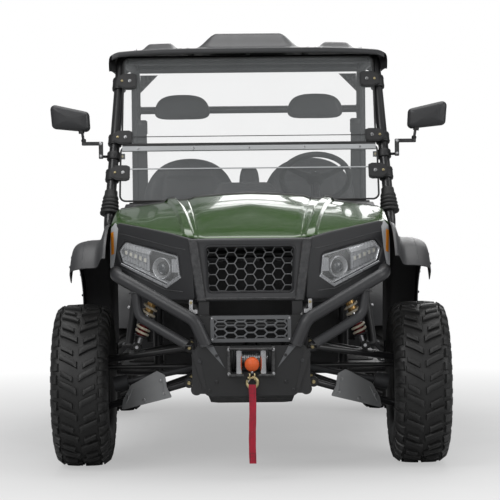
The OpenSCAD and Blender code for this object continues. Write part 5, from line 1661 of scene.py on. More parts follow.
def head_form(p):
    t = p.z / hz
    x = p.x * (1 - 0.13 * smoothstep(-0.35, 0.75, t))
    z = (p.z + 0.010 * (1 - (p.x / 0.135) ** 2) * smoothstep(-0.2, -1.0, t)
         - 0.007 * (p.x / 0.12) ** 2 * smoothstep(0.2, 1, t))
    return V((x, p.y * (0.92 + 0.08 * cos(p.x / 0.135 * pi / 2)), z))


shape_by(c, head_form)
puff(c, 0.005, 0.005)
relax(c, 3)
ring_path = loop(0.118, hz * 0.90, lambda a, b: (a * (1 - 0.13 * smoothstep(-0.35, 0.75, b / hz)), -0.02, b),
                 3.6)
seams = sew(c, [ring_path + ring_path[:1]], 0.002, 0.008, 0.0006)
place = Matrix.Translation((0.320, (lo.y + hi.y) / 2, (lo.z + hi.z) / 2))
finish_pad("Headrest", c, [seams], place, "headrests", 1)

# Clamps that hold the headrests on the bar behind them
s = Shape()
for x in (0.262, 0.378):
    s.lathe([(0.0182, -0.014), (0.0225, -0.014), (0.0225, 0.014), (0.0182, 0.014)], (x, 0.450, 1.513),
            (1, 0, 0), BLACK_PLASTIC, 28)
    s.box((x - 0.006, hi.y - 0.006, 1.505), (x + 0.006, 0.432, 1.521), BLACK_PAINT)
s.mirrored()
make("Headrest_clamps", s, "root", angle=45)


# ---- Roof, windscreen and mirrors ----


def roof_top(x, v):
    """Height of the roof skin: flat with raised panels, dropping at its edges."""
    def within(d, near, far):
        return 1 - smoothstep(near, far, d)
    a, along = abs(x), abs(v - 0.5)
    middle = within(a, 0.138, 0.240) * within(along, 0.34, 0.47)
    flank = within(abs(a - 0.392), 0.044, 0.086) * within(along, 0.36, 0.47)
    ribs = 0.0
    for x0 in (0.268, 0.300):
        ribs += 0.005 * within(abs(a - x0), 0.006, 0.013) * within(along, 0.32, 0.42)
    dish = 0.006 * within(a, 0.085, 0.120) * within(along, 0.24, 0.34)
    return (1.756 + middle * 0.066 + flank * 0.026 + ribs - dish
            - 0.018 * (abs(x) / 0.613) ** 4 - 0.014 * abs(2 * v - 1) ** 3)


RX, R0, R1 = 0.613, -0.350, 0.490
s = Shape()
cols, rows = 132, 60
outer, inner = [], []
for j in range(-cols // 2, cols // 2 + 1):
    u = j / (cols / 2)
    x = u * (RX - 0.014)
    edge = max(0.0, abs(u) - 0.94) / 0.06
    outer.append([(x, mix(R0, R1, k / rows), roof_top(x, k / rows) - 0.010 * edge * edge)
                  for k in range(rows + 1)])
    inner.append([(x * 0.985, mix(R0 + 0.01, R1 - 0.01, k / rows), roof_top(x, k / rows) - 0.011 - 0.010
                   * edge * edge) for k in range(rows + 1)])
sides = []
for sx, row in ((-1, outer[0]), (1, outer[-1])):
    skirt = [row]
    for dx, dz in ((0.008, -0.006), (0.0125, -0.018), (0.014, -0.034), (0.0135, -0.058), (0.0125, -0.072)):
        skirt.append([(p[0] + sx * dx, p[1], p[2] + dz) for p in row])
    skirt.append([(p[0] + sx * 0.0085, p[1], p[2] - 0.072) for p in row])
    skirt.append([(p[0] + sx * 0.0085, p[1], p[2] - 0.030) for p in row])
    sides.append(skirt if sx > 0 else skirt[::-1])
s.grid(sides[0][:-1] + outer + sides[1][1:], ROOF_PLASTIC)
s.grid(inner, BLACK_PLASTIC)
for k in (0, -1):
    s.grid([[row[k] for row in outer], [row[k] for row in inner]], ROOF_PLASTIC)
    dy = -1 if k == 0 else 1
    lip = [[(p[0], p[1] + dy * a, p[2] + b) for p in (row[k] for row in outer)] for a,
           b in ((0, 0), (0.0045, -0.003), (0.006, -0.010), (0.006, -0.021), (0.0035, -0.024),
                 (-0.002, -0.024), (-0.002, -0.012))]
    s.grid(lip, ROOF_PLASTIC)
# Pads and bolts that hold it to the cage
for x in (0.505, -0.505):
    for y in (-0.165, 0.320):
        v = (y - R0) / (R1 - R0)
        z = roof_top(x, v)
        s.lathe([(0.0, 0.0035), (0.016, 0.003), (0.018, 0.0), (0.018, -0.004)], (x, y, z), (0, 0, 1), RUBBER,
                28)
        s.bolt((x, y, z + 0.0028), (0, 0, 1), 0.013, STEEL)
# Liner ribs seen from below
for x in (-0.26, 0.0, 0.26):
    s.box((x - 0.010, R0 + 0.05, 1.720), (x + 0.010, R1 - 0.05, 1.7365), BLACK_PLASTIC)
make("Roof", s, "root", ("roof",), angle=40, weld=False)

# Windscreen panels, with rubber edges and the joint between them
UP_PILLAR = (PILLAR_TOP - PILLAR_LOW).normalized()
LEAN = atan2(UP_PILLAR.y, UP_PILLAR.z)
OUT = V((0, -cos(LEAN), sin(LEAN)))


def on_screen(x, z, t=0.0):
    """A point of the windscreen at a height; t is metres ahead of its inner face."""
    p = pillar_at(z)
    return V((x, p.y, p.z)) + OUT * (0.030 + t)


glass_shape, edge = Shape(), Shape()
for z0, z1, w in ((1.058, 1.2955, 0.556), (1.3045, 1.690, 0.551)):
    outline = rect(-w, w, z0, z1, 0.026, 6)
    glass_shape.prism(outline, on_screen, 0.0005, 0.0055, SCREEN)
    path = [on_screen(a, b, 0.003) for a, b in grown(outline, -0.001)]
    edge.tube(path + [path[0]], 0.0042, RUBBER, 8, caps=False)
make("Windscreen", glass_shape, "root", ("windshield",), angle=40, weld=False)


def strip(shape, z, w, h, t0, t1, mat):
    """A strip across the windscreen: h tall, from t0 to t1 ahead of its inner face."""
    a, b = on_screen(0, z - h / 2, t0), on_screen(0, z + h / 2, t0)
    c, d = on_screen(0, z + h / 2, t1), on_screen(0, z - h / 2, t1)
    rows = [[(x, p.y, p.z) for p in (a, b, c, d)] for x in (-w, w)]
    shape.grid(rows, mat, round_u=True)
    for row in rows:
        shape.add(row, [(0, 1, 2, 3)], mat)


# Extrusion along the joint, and the stiffening strips at the foot
strip(edge, 1.285, 0.549, 0.020, -0.002, 0.008, GREY_TRIM)
strip(edge, 1.300, 0.549, 0.005, -0.001, 0.0075, BLACK_PLASTIC)
strip(edge, 1.337, 0.549, 0.003, 0.0052, 0.0066, BLACK_PLASTIC)
strip(edge, 1.196, 0.535, 0.005, 0.0052, 0.0068, GREY_TRIM)
for x in (-0.48, -0.24, 0.0, 0.24, 0.48):
    edge.bolt(on_screen(x, 1.285, 0.0078), OUT, 0.008, STEEL)
make("Screen_edges", edge, "root", angle=40, weld=False)

# Clamps: a split sleeve, a plate over the panel's edge and its bolts
s = Shape()
for z, tall, low in ((1.180, 0.052, 0.026), (1.335, 0.046, 0.023), (1.585, 0.056, 0.028)):
    p = pillar_at(z)
    ring_pts = [(0.0225, -tall / 2), (0.0285, -tall / 2), (0.0300, -tall / 2 + 0.003),
                (0.0300, tall / 2 - 0.003), (0.0285, tall / 2), (0.0225, tall / 2)]
    s.lathe(ring_pts, p, UP_PILLAR, BLACK_PLASTIC, 40)
    for k in (-0.3, 0.3):
        s.lathe([(0.0298, -0.002), (0.0312, -0.001), (0.0312, 0.001), (0.0298, 0.002)], p + UP_PILLAR * tall
                * k, UP_PILLAR, RUBBER, 36)

    def plate_on(a, b, t, z=z, p=p):
        return on_screen(p.x + a, z + b, t)
    h = tall / 2 + 0.006
    shape_ = corners([(-0.078, -h * 0.8), (-0.062, -h), (-0.020, -h), (0.006, -h * 0.55), (0.006, h * 0.55),
                      (-0.020, h), (-0.062, h), (-0.078, h * 0.8)], 0.006, 4)
    s.prism(shape_, plate_on, 0.0060, 0.0105, PLATE_PAINT)
    inner_ = grown(shape_, -0.005)
    s.prism(inner_, plate_on, 0.0105, 0.0122, BLACK_PLASTIC)
    s.bolt(plate_on(-0.048, 0.0, 0.0122), OUT, 0.012, STEEL)
    s.bolt(plate_on(-0.014, 0.0, 0.0122), OUT, 0.009, ZINC)
    s.prism(grown(shape_, -0.003), plate_on, -0.012, -0.0005, BLACK_PLASTIC)
s.mirrored()
make("Windscreen_clamps", s, "root", ("windshield_clamps",), bevel=0.0006, angle=40,
     weld=False)

# Ribbed boots where the pillars meet the cowl
s = Shape()
prof = [(0.0226, -0.002), (0.041, 0.0)]
for i in range(5):
    r = 0.041 - i * 0.002
    h0 = i * 0.0168
    prof += [(r, h0 + 0.001), (r + 0.0012, h0 + 0.0055), (r - 0.0008, h0 + 0.0105), (0.0315, h0 + 0.0138)]
prof += [(0.0285, 0.0865), (0.0275, 0.106), (0.0255, 0.1085), (0.0226, 0.109)]
s.lathe(prof, pillar_at(1.016), UP_PILLAR, RUBBER, 48)
s.mirrored()
make("Pillar_boots", s, "root", ("pillar_boots",), angle=50, weld=False)

# Mirrors: domed housing, glass behind, cranked bar and stem, clamp round the pillar
s = Shape()
MY = -0.492
outline = corners([(0.685, 1.371), (0.850, 1.388), (0.859, 1.496), (0.690, 1.458)], 0.020, 6)
rows = []
for g, y in ((-0.062, -0.5150), (-0.045, -0.5148), (-0.028, -0.5135), (-0.014, -0.5100), (-0.005, -0.5040),
             (-0.0005, -0.4960), (0.0, -0.4880), (0.0, -0.4730), (-0.002, -0.4700), (-0.005, -0.4690),
             (-0.008, -0.4700), (-0.009, -0.4740)):
    if g < -0.02:
        c = V((0.771, 1.428))
        k = 1 + g / 0.068
        rows.append([(c.x + (a - c.x) * k, y, c.y + (b - c.y) * k) for a, b in grown(outline, -0.016)])
    else:
        rows.append([(a, y, b) for a, b in grown(outline, g)])
s.grid(rows, CHARCOAL, round_u=True)
s.add(rows[0], [tuple(range(len(rows[0])))], CHARCOAL)
s.add([(a, -0.4735, b) for a, b in grown(outline, -0.009)], [tuple(range(len(outline)))[::-1]], MIRROR)
bar = corners([(0.631, 1.256), (0.649, 1.256), (0.649, 1.314), (0.722, 1.314), (0.722, 1.330),
               (0.631, 1.330)], 0.003, 3)
s.prism(bar, front, MY - 0.009, MY + 0.009, PLATE_PAINT)
hold = pillar_at(1.266)
s.tube([hold + V((0.026, 0, 0)), V((0.640, MY, 1.266))], 0.006, BLACK_PAINT, 14)
s.tube([V((0.713, MY, 1.322)), V((0.724, MY, 1.395))], 0.006, BLACK_PAINT, 14)
s.lathe([(0.0, -0.001), (0.0095, 0.0), (0.0105, 0.004), (0.0105, 0.011), (0.007, 0.014)], (0.7135, MY, 1.329),
        (0.13, 0, 1), BLACK_PAINT, 24)
s.lathe([(0.0125, 0.0), (0.0125, 0.012), (0.0095, 0.016)], (0.7225, MY, 1.366), (0.13, 0, 1), RUBBER, 24)
s.bolt((0.640, MY - 0.0092, 1.322), (0, -1, 0), 0.012, STEEL)
s.bolt((0.640, MY - 0.0092, 1.268), (0, -1, 0), 0.010, STEEL)
s.lathe([(0.0225, -0.017), (0.0285, -0.017), (0.0300, -0.014), (0.0300, 0.014), (0.0285, 0.017),
         (0.0225, 0.017)], pillar_at(1.265), UP_PILLAR, BLACK_PLASTIC, 40)
s.box((hold.x - 0.048, hold.y - 0.012, hold.z - 0.012), (hold.x - 0.026, hold.y + 0.012, hold.z + 0.012),
      BLACK_PAINT)
s.bolt((hold.x - 0.037, hold.y - 0.012, hold.z), (0, -1, 0), 0.010, ZINC)
s.mirrored()
make("Mirrors", s, "root", ("mirrors",), angle=42, weld=False)


# ---- Cab: dashboard, steering wheel and floor ----

s = Shape()
section = [(-0.605, 0.856), (-0.605, 1.000), (-0.596, 1.026), (-0.550, 1.042), (-0.415, 1.062),
           (-0.345, 1.010), (-0.335, 0.900), (-0.400, 0.856)]
sec = corners(section, 0.014, 5)
stations = 40
rows = []
for k in range(stations + 1):
    u = mix(-1, 1, k / stations)
    x = 0.540 * u
    ease_in = 1 - smoothstep(0.965, 1.0, abs(u)) * 0.03
    row = []
    for y, z in sec:
        yy = -0.47 + (y + 0.47) * ease_in
        zz = 0.96 + (z - 0.96) * ease_in
        # A shallow scoop ahead of each person
        if yy > -0.36:
            yy -= 0.006 * (1 - smoothstep(0.10, 0.16, abs(abs(x) - 0.30)))
        row.append((x, yy, zz))
    rows.append(row)
s.grid(rows, DASH_PLASTIC, round_u=True)
for k in (0, -1):
    s.add(rows[k], [tuple(range(len(sec)))], DASH_PLASTIC)
# Instrument hood with a lip, and the display under it
hood_sec = corners([(-0.470, 1.040), (-0.430, 1.150), (-0.380, 1.146), (-0.344, 1.010)], 0.012, 5)
rows = []
for k in range(25):
    u = k / 24
    x = mix(-0.157, 0.114, u)
    e = max(0.0, abs(2 * u - 1) - 0.7) / 0.3
    rows.append([(x, y, z - max(0.0, z - 1.05) * 0.35 * e * e) for y, z in hood_sec])
s.grid(rows, BLACK_PLASTIC, round_u=True)
for k in (0, -1):
    s.add(rows[k], [tuple(range(len(hood_sec)))], BLACK_PLASTIC)


def face(a, b, t):
    """The instrument face: a across, b up it, t out of it toward the driver."""
    d, n = V((-0.036, 0.136)).normalized(), V((0.136, 0.036)).normalized()
    p = V((-0.344, 1.010)) + d * b + n * t
    return (-0.0215 + a, p.x, p.y)


screen_out = rect(-0.104, 0.104, 0.018, 0.118, 0.012, 5)
s.frame(screen_out, grown(screen_out, -0.010), face, 0.0, 0.0035, BLACK_PLASTIC)
s.prism(grown(screen_out, -0.0095), face, 0.0, 0.0012, DIAL)
for i in range(33):
    a = radians(mix(-40, 220, i / 32))
    r0 = 0.032 if i % 4 else 0.028
    s.tube([face(r * cos(a), 0.066 + r * sin(a), 0.0014) for r in (r0, 0.036)], 0.0005, SILVER, 4)
s.tube([face(0, 0.066, 0.0018), face(-0.018, 0.084, 0.0018)], 0.0008, ORANGE, 5)
s.lathe([(0.0, 0.002), (0.004, 0.0015), (0.0045, 0.0)], face(0, 0.066, 0.0008),
        V(face(0, 0, 1)) - V(face(0, 0, 0)), BLACK_PLASTIC, 18)
for i in range(5):
    for sx in (-1, 1):
        x, z = sx * 0.076, 0.034 + i * 0.014
        s.box(face(x - 0.008, z, 0.0011), face(x + 0.008, 0.040 + i * 0.014, 0.0016),
              WARM_LED if i < 3 else RED_LENS, 0.0001)
# Switches, vents, glove box and power sockets on the dashboard's rear face
for i in range(4):
    x = -0.10 + i * 0.058
    s.box((x - 0.017, -0.3400, 0.940), (x + 0.017, -0.3340, 0.972), BLACK_PLASTIC, 0.002)
    s.box((x - 0.012, -0.3345, 0.944), (x + 0.012, -0.3315, 0.968), RUBBER, 0.003)
    s.box((x - 0.003, -0.3317, 0.961), (x + 0.003, -0.3310, 0.963), AMBER, 0.0004)
for x in (-0.42, 0.46):
    s.lathe([(0.034, -0.008), (0.034, 0.002), (0.030, 0.004), (0.027, 0.0), (0.027, -0.008)],
            (x, -0.342, 0.975), (0, 1, 0), BLACK_PLASTIC, 32)
    for i in range(-3, 4):
        h = sqrt(max(0.0, 0.027 ** 2 - (i * 0.0075) ** 2))
        s.box((x - h, -0.345, 0.975 + i * 0.0075 - 0.0014), (x + h, -0.341, 0.975 + i * 0.0075 + 0.0014),
              BLACK_PLASTIC, 0.0004)
glove = rect(-0.36, -0.17, 0.885, 0.955, 0.012)
s.prism(glove, front, -0.345, -0.3345, BLACK_PLASTIC)
s.prism(grown(glove, -0.006), front, -0.3348, -0.3330, DASH_PLASTIC)
s.box((-0.285, -0.334, 0.938), (-0.245, -0.327, 0.948), STEEL, 0.002)
for x in (-0.075, -0.030):
    s.lathe([(0.0, -0.012), (0.0115, -0.012), (0.0115, 0.0), (0.0145, 0.0), (0.0145, 0.003), (0.0, 0.003)],
            (x, -0.3352, 0.905), (0, 1, 0), RUBBER, 28)
# Soft edge along the dashboard's top, and its fixing screws
s.tube([(-0.525, -0.415, 1.062), (-0.2, -0.415, 1.0625)], 0.004, RUBBER, 8)
s.tube([(0.15, -0.415, 1.0625), (0.525, -0.415, 1.062)], 0.004, RUBBER, 8)
for x in (-0.5, -0.34, -0.18, 0.2, 0.36, 0.5):
    s.bolt((x, -0.50, 1.0485), (0, 0, 1), 0.010, BLACK_PAINT)
# Ribs moulded in the top
for i in range(9):
    x = -0.5 + i * 0.035
    s.box((x - 0.006, -0.56, 1.036), (x + 0.006, -0.46, 1.0535), DASH_PLASTIC, 0.003)
make("Dashboard", s, "root", ("dashboard",), angle=42, weld=False)

# Steering wheel: gripped rim, three spokes with steel inlays, hub pad
s = Shape()
AX = V((0, 0.682, 0.7314)).normalized()
WC = V((0.300, -0.120, 1.168))
UX, UY = V((1, 0, 0)), AX.cross(V((1, 0, 0))).normalized()


def on_wheel(a, r, t=0.0):
    """A point at an angle and radius in the wheel's plane, t toward the driver."""
    return WC + (UX * cos(a) + UY * sin(a)) * r + AX * t


rows = []
for i in range(144):
    a = 2 * pi * i / 144
    grip = 1 + 0.045 * (1 - smoothstep(0.12, 0.3, abs(((a - radians(10)) % pi) - radians(20))))
    row = []
    for j in range(18):
        b = 2 * pi * j / 18
        bump_ = 1.0 - (0.05 * max(0, cos(b)) * (0.5 + 0.5 * sin(a * 48)) if cos(b + pi) > 0.2 else 0.0)
        row.append(on_wheel(a, 0.154 + 0.0130 * grip * cos(b) * bump_, 0.0130 * grip * sin(b)))
    rows.append(row)
s.grid([[tuple(rows[i % 144][j]) for i in range(145)] for j in range(18)]
       + [[tuple(rows[i % 144][0]) for i in range(145)]], RUBBER)
# The seam in the grip's inner side
s.tube([tuple(on_wheel(2 * pi * i / 96, 0.1412, 0.0)) for i in range(97)], 0.0007, THREAD, 5, caps=False)
for deg in (90, 210, 330):
    a = radians(deg)
    side_ = UY * cos(a) - UX * sin(a)
    spoke = []
    for r, w, h, t in ((0.030, 0.022, 0.008, -0.004), (0.060, 0.018, 0.007, -0.006),
                       (0.100, 0.0150, 0.006, -0.005), (0.148, 0.0145, 0.0055, 0.0)):
        c = on_wheel(a, r, t)
        turns = [2 * pi * k / 14 for k in range(14)]
        spoke.append([tuple(c + side_ * w * cos(b) + AX * h * sin(b)) for b in turns])
    s.grid(spoke, RUBBER, round_u=True)
    inlay = []
    for r, w, t in ((0.050, 0.008, 0.0015), (0.090, 0.0070, 0.0012), (0.130, 0.0060, 0.0045)):
        c = on_wheel(a, r, t)
        inlay.append([tuple(c - side_ * w + AX * 0.0002), tuple(c - side_ * w * 0.8 + AX * 0.0014),
                      tuple(c + side_ * w * 0.8 + AX * 0.0014), tuple(c + side_ * w + AX * 0.0002)])
    s.grid(inlay, STEEL)
s.lathe([(0.0, 0.012), (0.022, 0.0115), (0.033, 0.009), (0.039, 0.003), (0.0405, -0.006), (0.038, -0.014),
         (0.030, -0.018), (0.0, -0.018)], WC, AX, RUBBER, 48)
s.lathe([(0.0245, 0.0105), (0.0255, 0.0123), (0.0265, 0.0105)], WC, AX, STEEL, 48)
for i in range(3):
    s.bolt(on_wheel(radians(30 + 120 * i), 0.0315, 0.0085), AX, 0.0055, STEEL)
make("Steering_wheel", s, "steering_wheel", ("steering_wheel",), angle=45, weld=False)

# Pedals and floor mats
s = Shape()


def pedal(x, w, y, z, h, mat_pad):
    pts = rect(x - w / 2, x + w / 2, z - h / 2, z + h / 2, 0.008)

    def lean_back(a, b, t):
        return (a, y + t - (b - z) * 0.35, b)
    s.prism(pts, lean_back, 0.0, 0.006, BLACK_PAINT)
    s.prism(grown(pts, -0.002), lean_back, 0.006, 0.012, mat_pad)
    for i in range(4):
        zz = z - h / 2 + h * (i + 0.7) / 4.4
        s.prism([(x - w * 0.4, zz - 0.0035), (x + w * 0.4, zz - 0.0035), (x + w * 0.4, zz + 0.0035),
                 (x - w * 0.4, zz + 0.0035)], lean_back, 0.012, 0.0145, mat_pad)
    s.tube([V((x, y, z)), V((x, y - 0.030, z + 0.13)), V((x, y - 0.020, z + 0.27))], 0.008, BLACK_PAINT, 12)


pedal(0.250, 0.085, -0.440, 0.520, 0.060, RUBBER)
pedal(0.360, 0.055, -0.445, 0.505, 0.110, RUBBER)
for x0, x1 in ((0.115, 0.530), (-0.530, -0.115)):
    s.prism(rect(x0, x1, -0.50, -0.10, 0.025), lambda a, b, t: (a, b, t), 0.3736, 0.3785, RUBBER)
    n = 13
    for i in range(n):
        y = mix(-0.475, -0.125, i / (n - 1))
        s.box((x0 + 0.02, y - 0.005, 0.3785), (x1 - 0.02, y + 0.005, 0.3815), RUBBER, 0.0015)
make("Pedals_and_mats", s, "root", angle=45, weld=False)

# Gear selector on the tunnel
s = Shape()
s.prism(rect(-0.045, 0.045, -0.300, -0.130, 0.015), lambda a, b, t: (a, b, t), 0.5202, 0.5265, DASH_PLASTIC)
for i in range(4):
    r = 0.030 - i * 0.0045
    s.lathe([(r, 0.0), (r + 0.002, 0.004), (r - 0.003, 0.009)], (0, -0.215, 0.5262 + i * 0.009), (0, 0, 1),
            RUBBER, 28)
s.tube([V((0, -0.215, 0.545)), V((0, -0.205, 0.640))], 0.006, STEEL, 14)
s.lathe([(0.0, -0.026), (0.012, -0.025), (0.0175, -0.016), (0.020, 0.0), (0.0195, 0.012), (0.013, 0.021),
         (0.0, 0.024)], (0, -0.204, 0.660), (0, 0.1, 1), RUBBER, 32)
make("Gear_selector", s, "root", angle=45, weld=False)

# Seat belts: reel on the rear post, webbing down to the seat's side, buckle
s = Shape()
for sx in (-1, 1):
    s.box((sx * 0.515 - 0.024, 0.405, 1.395), (sx * 0.515 + 0.024, 0.452, 1.465), BLACK_PLASTIC, 0.006)
    pts = smooth_line([(sx * 0.515, 0.398, 1.44), (sx * 0.512, 0.392, 1.30), (sx * 0.510, 0.372, 1.10),
                       (sx * 0.520, 0.320, 0.90), (sx * 0.532, 0.240, 0.70), (sx * 0.535, 0.215, 0.63)], 5)
    rows = []
    for p in pts:
        rows.append([(p.x - 0.022, p.y, p.z), (p.x + 0.022, p.y, p.z)])
    back = [[(a, y + 0.0016, z) for a, y, z in r] for r in rows]
    s.grid(rows, BELT_WEB)
    s.grid(back, BELT_WEB)
    s.grid([[r[0] for r in rows], [r[0] for r in back]], BELT_WEB)
    s.grid([[r[1] for r in rows], [r[1] for r in back]], BELT_WEB)
    s.box((sx * 0.035 - 0.016, 0.10, 0.69), (sx * 0.035 + 0.016, 0.128, 0.765), BLACK_PLASTIC, 0.005)
    s.box((sx * 0.035 - 0.011, 0.104, 0.7645), (sx * 0.035 + 0.011, 0.124, 0.7675), RED_LENS, 0.001)
    s.tube([V((sx * 0.035, 0.116, 0.695)), V((sx * 0.037, 0.140, 0.620))], 0.006, BLACK_PAINT, 10)
make("Seat_belts", s, "root", angle=45, weld=False)


# ---- Cargo bed, tailgate and tail lights ----

BX, BY0, BY1, BZ0 = 0.590, 0.495, 1.445, 0.7203
LUG_X = 0.256
s = Shape()
# Floor with pressed ribs, outer and inner walls, rolled top rail
s.box((-BX + 0.004, BY0 + 0.004, BZ0), (BX - 0.004, BY1, BZ0 + 0.010), BLACK_PLASTIC, 0.003)
for i in range(13):
    x = mix(-0.50, 0.50, i / 12)
    s.box((x - 0.016, BY0 + 0.06, BZ0 + 0.008), (x + 0.016, BY1 - 0.03, BZ0 + 0.0140), BLACK_PLASTIC, 0.003)
wall = [(0.0, 0.0), (0.0, 0.020), (0.004, 0.060), (0.004, 0.100), (0.000, 0.112), (0.000, 0.190),
        (0.004, 0.202), (0.004, 0.250), (0.000, 0.262), (0.000, 0.285), (0.0025, 0.292), (0.007, 0.294),
        (0.021, 0.294), (0.0255, 0.292), (0.028, 0.285), (0.028, 0.262), (0.0235, 0.252), (0.0235, 0.016),
        (0.028, 0.010)]


def wall_run(points):
    """A wall section carried along the bed's plan; each point is (x, y, inward x, inward y)."""
    rows = [[(x + ix * d, y + iy * d, BZ0 + h) for d, h in wall] for x, y, ix, iy in points]
    s.grid(rows, GREEN)
    for k in (0, -1):
        s.add(rows[k], [tuple(range(len(wall)))], GREEN)


plan = [(BX, BY1, -1, 0)]
turns = [radians(15 * k) for k in range(1, 6)]
plan += [(BX, mix(BY1, BY0 + 0.05, k / 10), -1, 0) for k in range(1, 11)]
plan += [(BX - 0.05 + 0.05 * cos(a), BY0 + 0.05 - 0.05 * sin(a), -cos(a), sin(a)) for a in turns]
plan += [(mix(BX - 0.05, -BX + 0.05, k / 16), BY0, 0, 1) for k in range(17)]
plan += [(-BX + 0.05 - 0.05 * sin(a), BY0 + 0.05 - 0.05 * cos(a), sin(a), cos(a)) for a in turns]
plan += [(-BX, mix(BY0 + 0.05, BY1, k / 10), 1, 0) for k in range(11)]
wall_run(plan)
# Ribs pressed in the side walls, tie-down hooks, seam bolts
for sx in (-1, 1):
    for i in range(6):
        y = 0.60 + i * 0.155
        s.box((sx * 0.5895, y - 0.020, 0.775), (sx * 0.5855, y + 0.020, 0.965), GREEN, 0.002)
    for y in (0.64, 1.32):
        s.tube(rounded([(sx * 0.562, y - 0.022, 0.955), (sx * 0.548, y - 0.022, 0.948),
                        (sx * 0.548, y + 0.022, 0.948), (sx * 0.562, y + 0.022, 0.955)], 0.006, 4), 0.0035,
               STEEL, 10)
        s.box((sx * 0.566, y - 0.032, 0.938), (sx * 0.5615, y + 0.032, 0.972), BLACK_PAINT, 0.002)
    for y in (0.56, 0.85, 1.14, 1.42):
        s.bolt((sx * 0.576, y, 1.0143 - 0.0015), (0, 0, 1), 0.010, STEEL)
    # Latch strikers for the tailgate
    s.box((sx * 0.566, 1.405, 0.945), (sx * 0.580, 1.4445, 0.985), BLACK_PAINT, 0.002)
for x in (-0.45, -0.15, 0.15, 0.45):
    s.box((x - 0.10, BY0 + 0.0002, 0.790), (x + 0.10, BY0 + 0.0030, 0.955), GREEN, 0.002)
# Lugs round the tipping pivot, and the lugs and pins that hold the tailgate
for sx in (-1, 1):
    s.box((sx * LUG_X, 1.284, 0.6755), (sx * (LUG_X + 0.012), 1.336, BZ0 + 0.004), BLACK_PAINT, 0.004)
    s.lathe([(0.0165, -0.004), (0.0225, -0.004), (0.0225, 0.0), (0.0165, 0.0)],
            (sx * (LUG_X + 0.012) + (0.004 if sx > 0 else 0), 1.310, 0.700), (1, 0, 0), STEEL, 28)
    for x in (0.300, 0.371):
        s.box((sx * x, 1.435, 0.7203), (sx * (x + 0.009), 1.473, 0.7363), BLACK_PAINT, 0.002)
    s.tube([V((sx * 0.300, 1.465, 0.7283)), V((sx * 0.380, 1.465, 0.7283))], 0.006, ZINC, 18)
make("Cargo_bed_tub", s, "cargo_bed", ("cargo_bed",), angle=38, weld=False)


def panel(g):
    """The tailgate's outline, g metres larger all round."""
    a, b0, b1 = 0.588 + g, 0.742 - g, 1.014 + g
    return rect(-a, a, b0, b1, 0.012, 5)


# Tailgate: skin with a pressed panel, handle and hinge sleeves
s = Shape()
steps = [(0.0, 1.4502), (0.0, 1.4665), (-0.003, 1.4695), (-0.024, 1.4700), (-0.031, 1.4660), (-0.060, 1.4660),
         (-0.067, 1.4700), (-0.080, 1.4705)]
rows = [[(a, y, b) for a, b in panel(g)] for g, y in steps]
s.grid(rows, GREEN, round_u=True)
s.add(rows[-1], [tuple(range(len(rows[0])))], GREEN)
s.add(rows[0], [tuple(range(len(rows[0])))[::-1]], GREEN)
s.prism(rect(-0.095, 0.095, 0.930, 0.985, 0.010), front, 1.4650, 1.4706, BLACK_PLASTIC)
s.tube(rounded([(-0.070, 1.469, 0.957), (-0.070, 1.4740, 0.957), (0.070, 1.4740, 0.957),
                (0.070, 1.469, 0.957)], 0.002, 3), 0.0008, STEEL, 8)
s.prism(rect(-0.075, 0.075, 0.946, 0.968, 0.006), front, 1.4706, 1.4745, RUBBER)
for x in (-0.545, 0.545):
    s.prism(rect(x - 0.018, x + 0.018, 0.905, 0.995, 0.006), front, 1.4700, 1.4745, BLACK_PAINT)
    s.bolt((x, 1.4726, 0.975), (0, 1, 0), 0.004, STEEL)
for x in (-0.46, -0.23, 0.0, 0.23, 0.46):
    s.prism(rect(x - 0.030, x + 0.030, 0.850, 0.880, 0.006), front, 1.4700, 1.4725, GREEN)
for sx in (-1, 1):
    s.box((sx * 0.310, 1.4560, 0.7385), (sx * 0.370, 1.4740, 0.7460), BLACK_PAINT, 0.002)
    s.lathe([(0.0068, -0.030), (0.0098, -0.030), (0.0100, -0.028), (0.0100, 0.028), (0.0098, 0.030),
             (0.0068, 0.030)], (sx * 0.340, 1.465, 0.7283), (1, 0, 0), BLACK_PAINT, 28)
make("Tailgate_skin", s, "tailgate", ("tailgate",), angle=38, weld=False)

# Tail lights: housing, red lens and its upright ribs, three of them pale
s = Shape()
out = rect(0.330, 0.440, 0.562, 0.638, 0.012, 5)
s.prism(out, front, 1.3504, 1.3600, BLACK_PLASTIC)
s.frame(out, grown(out, -0.006), front, 1.3600, 1.3760, BLACK_PLASTIC)
s.prism(grown(out, -0.0055), front, 1.3600, 1.3700, RED_LENS)
for i in range(11):
    x = 0.339 + i * 0.0092
    s.box((x - 0.0032, 1.3695, 0.570), (x + 0.0032, 1.3738, 0.630), RED_LENS if i not in (4, 5, 6)
          else REFLECTOR, 0.0014)
for x in (0.3355, 0.4345):
    s.bolt((x, 1.3755, 0.600), (0, 1, 0), 0.004, STEEL)
s.mirrored()
make("Tail_light_lenses", s, "root", ("tail_lights",), angle=40, weld=False)

# ---- Engine, exhaust and drive line ----

s = Shape()
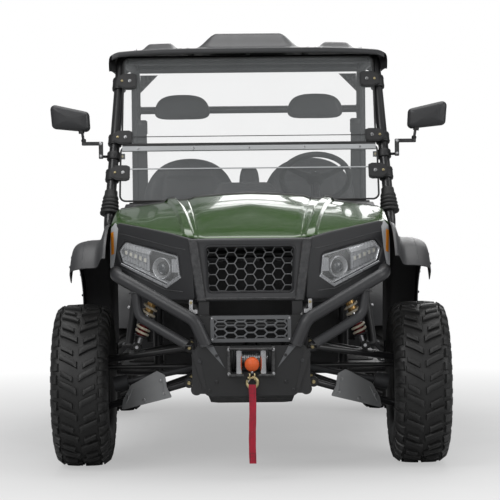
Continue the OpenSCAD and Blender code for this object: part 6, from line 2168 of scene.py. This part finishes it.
# Crankcase with ribs, cylinder with fins, head cover, filler cap, side covers, filter and hoses
s.box((-0.172, 0.500, 0.366), (0.172, 0.870, 0.500), ENGINE_GREY, 0.018)
for i in range(9):
    y = 0.53 + i * 0.039
    s.box((-0.182, y - 0.004, 0.376), (0.182, y + 0.004, 0.490), ENGINE_GREY, 0.002)
for i in range(8):
    z = 0.503 + i * 0.0125
    s.box((-0.128, 0.575, z), (0.128, 0.800, z + 0.006), ENGINE_GREY, 0.0025)
s.box((-0.112, 0.590, 0.495), (0.112, 0.785, 0.610), ENGINE_GREY, 0.01)
s.box((-0.120, 0.582, 0.606), (0.120, 0.793, 0.640), IRON, 0.012)
for x in (-0.105, 0.0, 0.105):
    for y in (0.597, 0.778):
        s.bolt((x, y, 0.639), (0, 0, 1), 0.012, STEEL)
s.lathe([(0.0, -0.004), (0.024, -0.004), (0.026, 0.004), (0.026, 0.016), (0.022, 0.020), (0.0, 0.021)],
        (0.055, 0.69, 0.642), (0, 0, 1), BLACK_PLASTIC, 28)
for sx in (-1, 1):
    s.lathe([(0.0, 0.0), (0.052, -0.001), (0.058, -0.006), (0.060, -0.020)], (sx * 0.1845, 0.640, 0.436),
            (sx, 0, 0), IRON, 44)
    for k in range(6):
        a = 2 * pi * k / 6
        s.bolt((sx * 0.1790, 0.640 + 0.050 * cos(a), 0.436 + 0.050 * sin(a)), (sx, 0, 0), 0.009, ZINC)
s.lathe([(0.0, 0.0), (0.030, 0.0), (0.032, 0.006), (0.032, 0.055), (0.028, 0.062), (0.0, 0.063)],
        (-0.115, 0.485, 0.430), (0, 1, 0), ORANGE, 30)
s.tube(smooth_line([(-0.09, 0.60, 0.60), (-0.150, 0.57, 0.625), (-0.160, 0.53, 0.570), (-0.150, 0.50, 0.500)],
                   6), 0.013, RUBBER, 14)
s.tube(smooth_line([(0.10, 0.77, 0.60), (0.155, 0.80, 0.620), (0.165, 0.84, 0.560), (0.150, 0.86, 0.48)], 6),
       0.016, RUBBER, 14)
make("Engine_detail", s, "root", ("engine",), bevel=0.0012, angle=38, weld=False)


# ---- CAD pieces that keep their shape ----

for mat, names in (
        (BLACK_PAINT, "chassis_frame front_arms rear_arms knuckle_left knuckle_right hitch_receiver "
                      "steering_rack"),
        (BLACK_PLASTIC, "floor_pan seat_base steering_column"),
        (IRON, "drive_line"),
        (EXHAUST, "muffler")):
    for name in names.split():
        nodes[name].data.materials.clear()
        nodes[name].data.materials.append(mat)

bpy.context.view_layer.update()
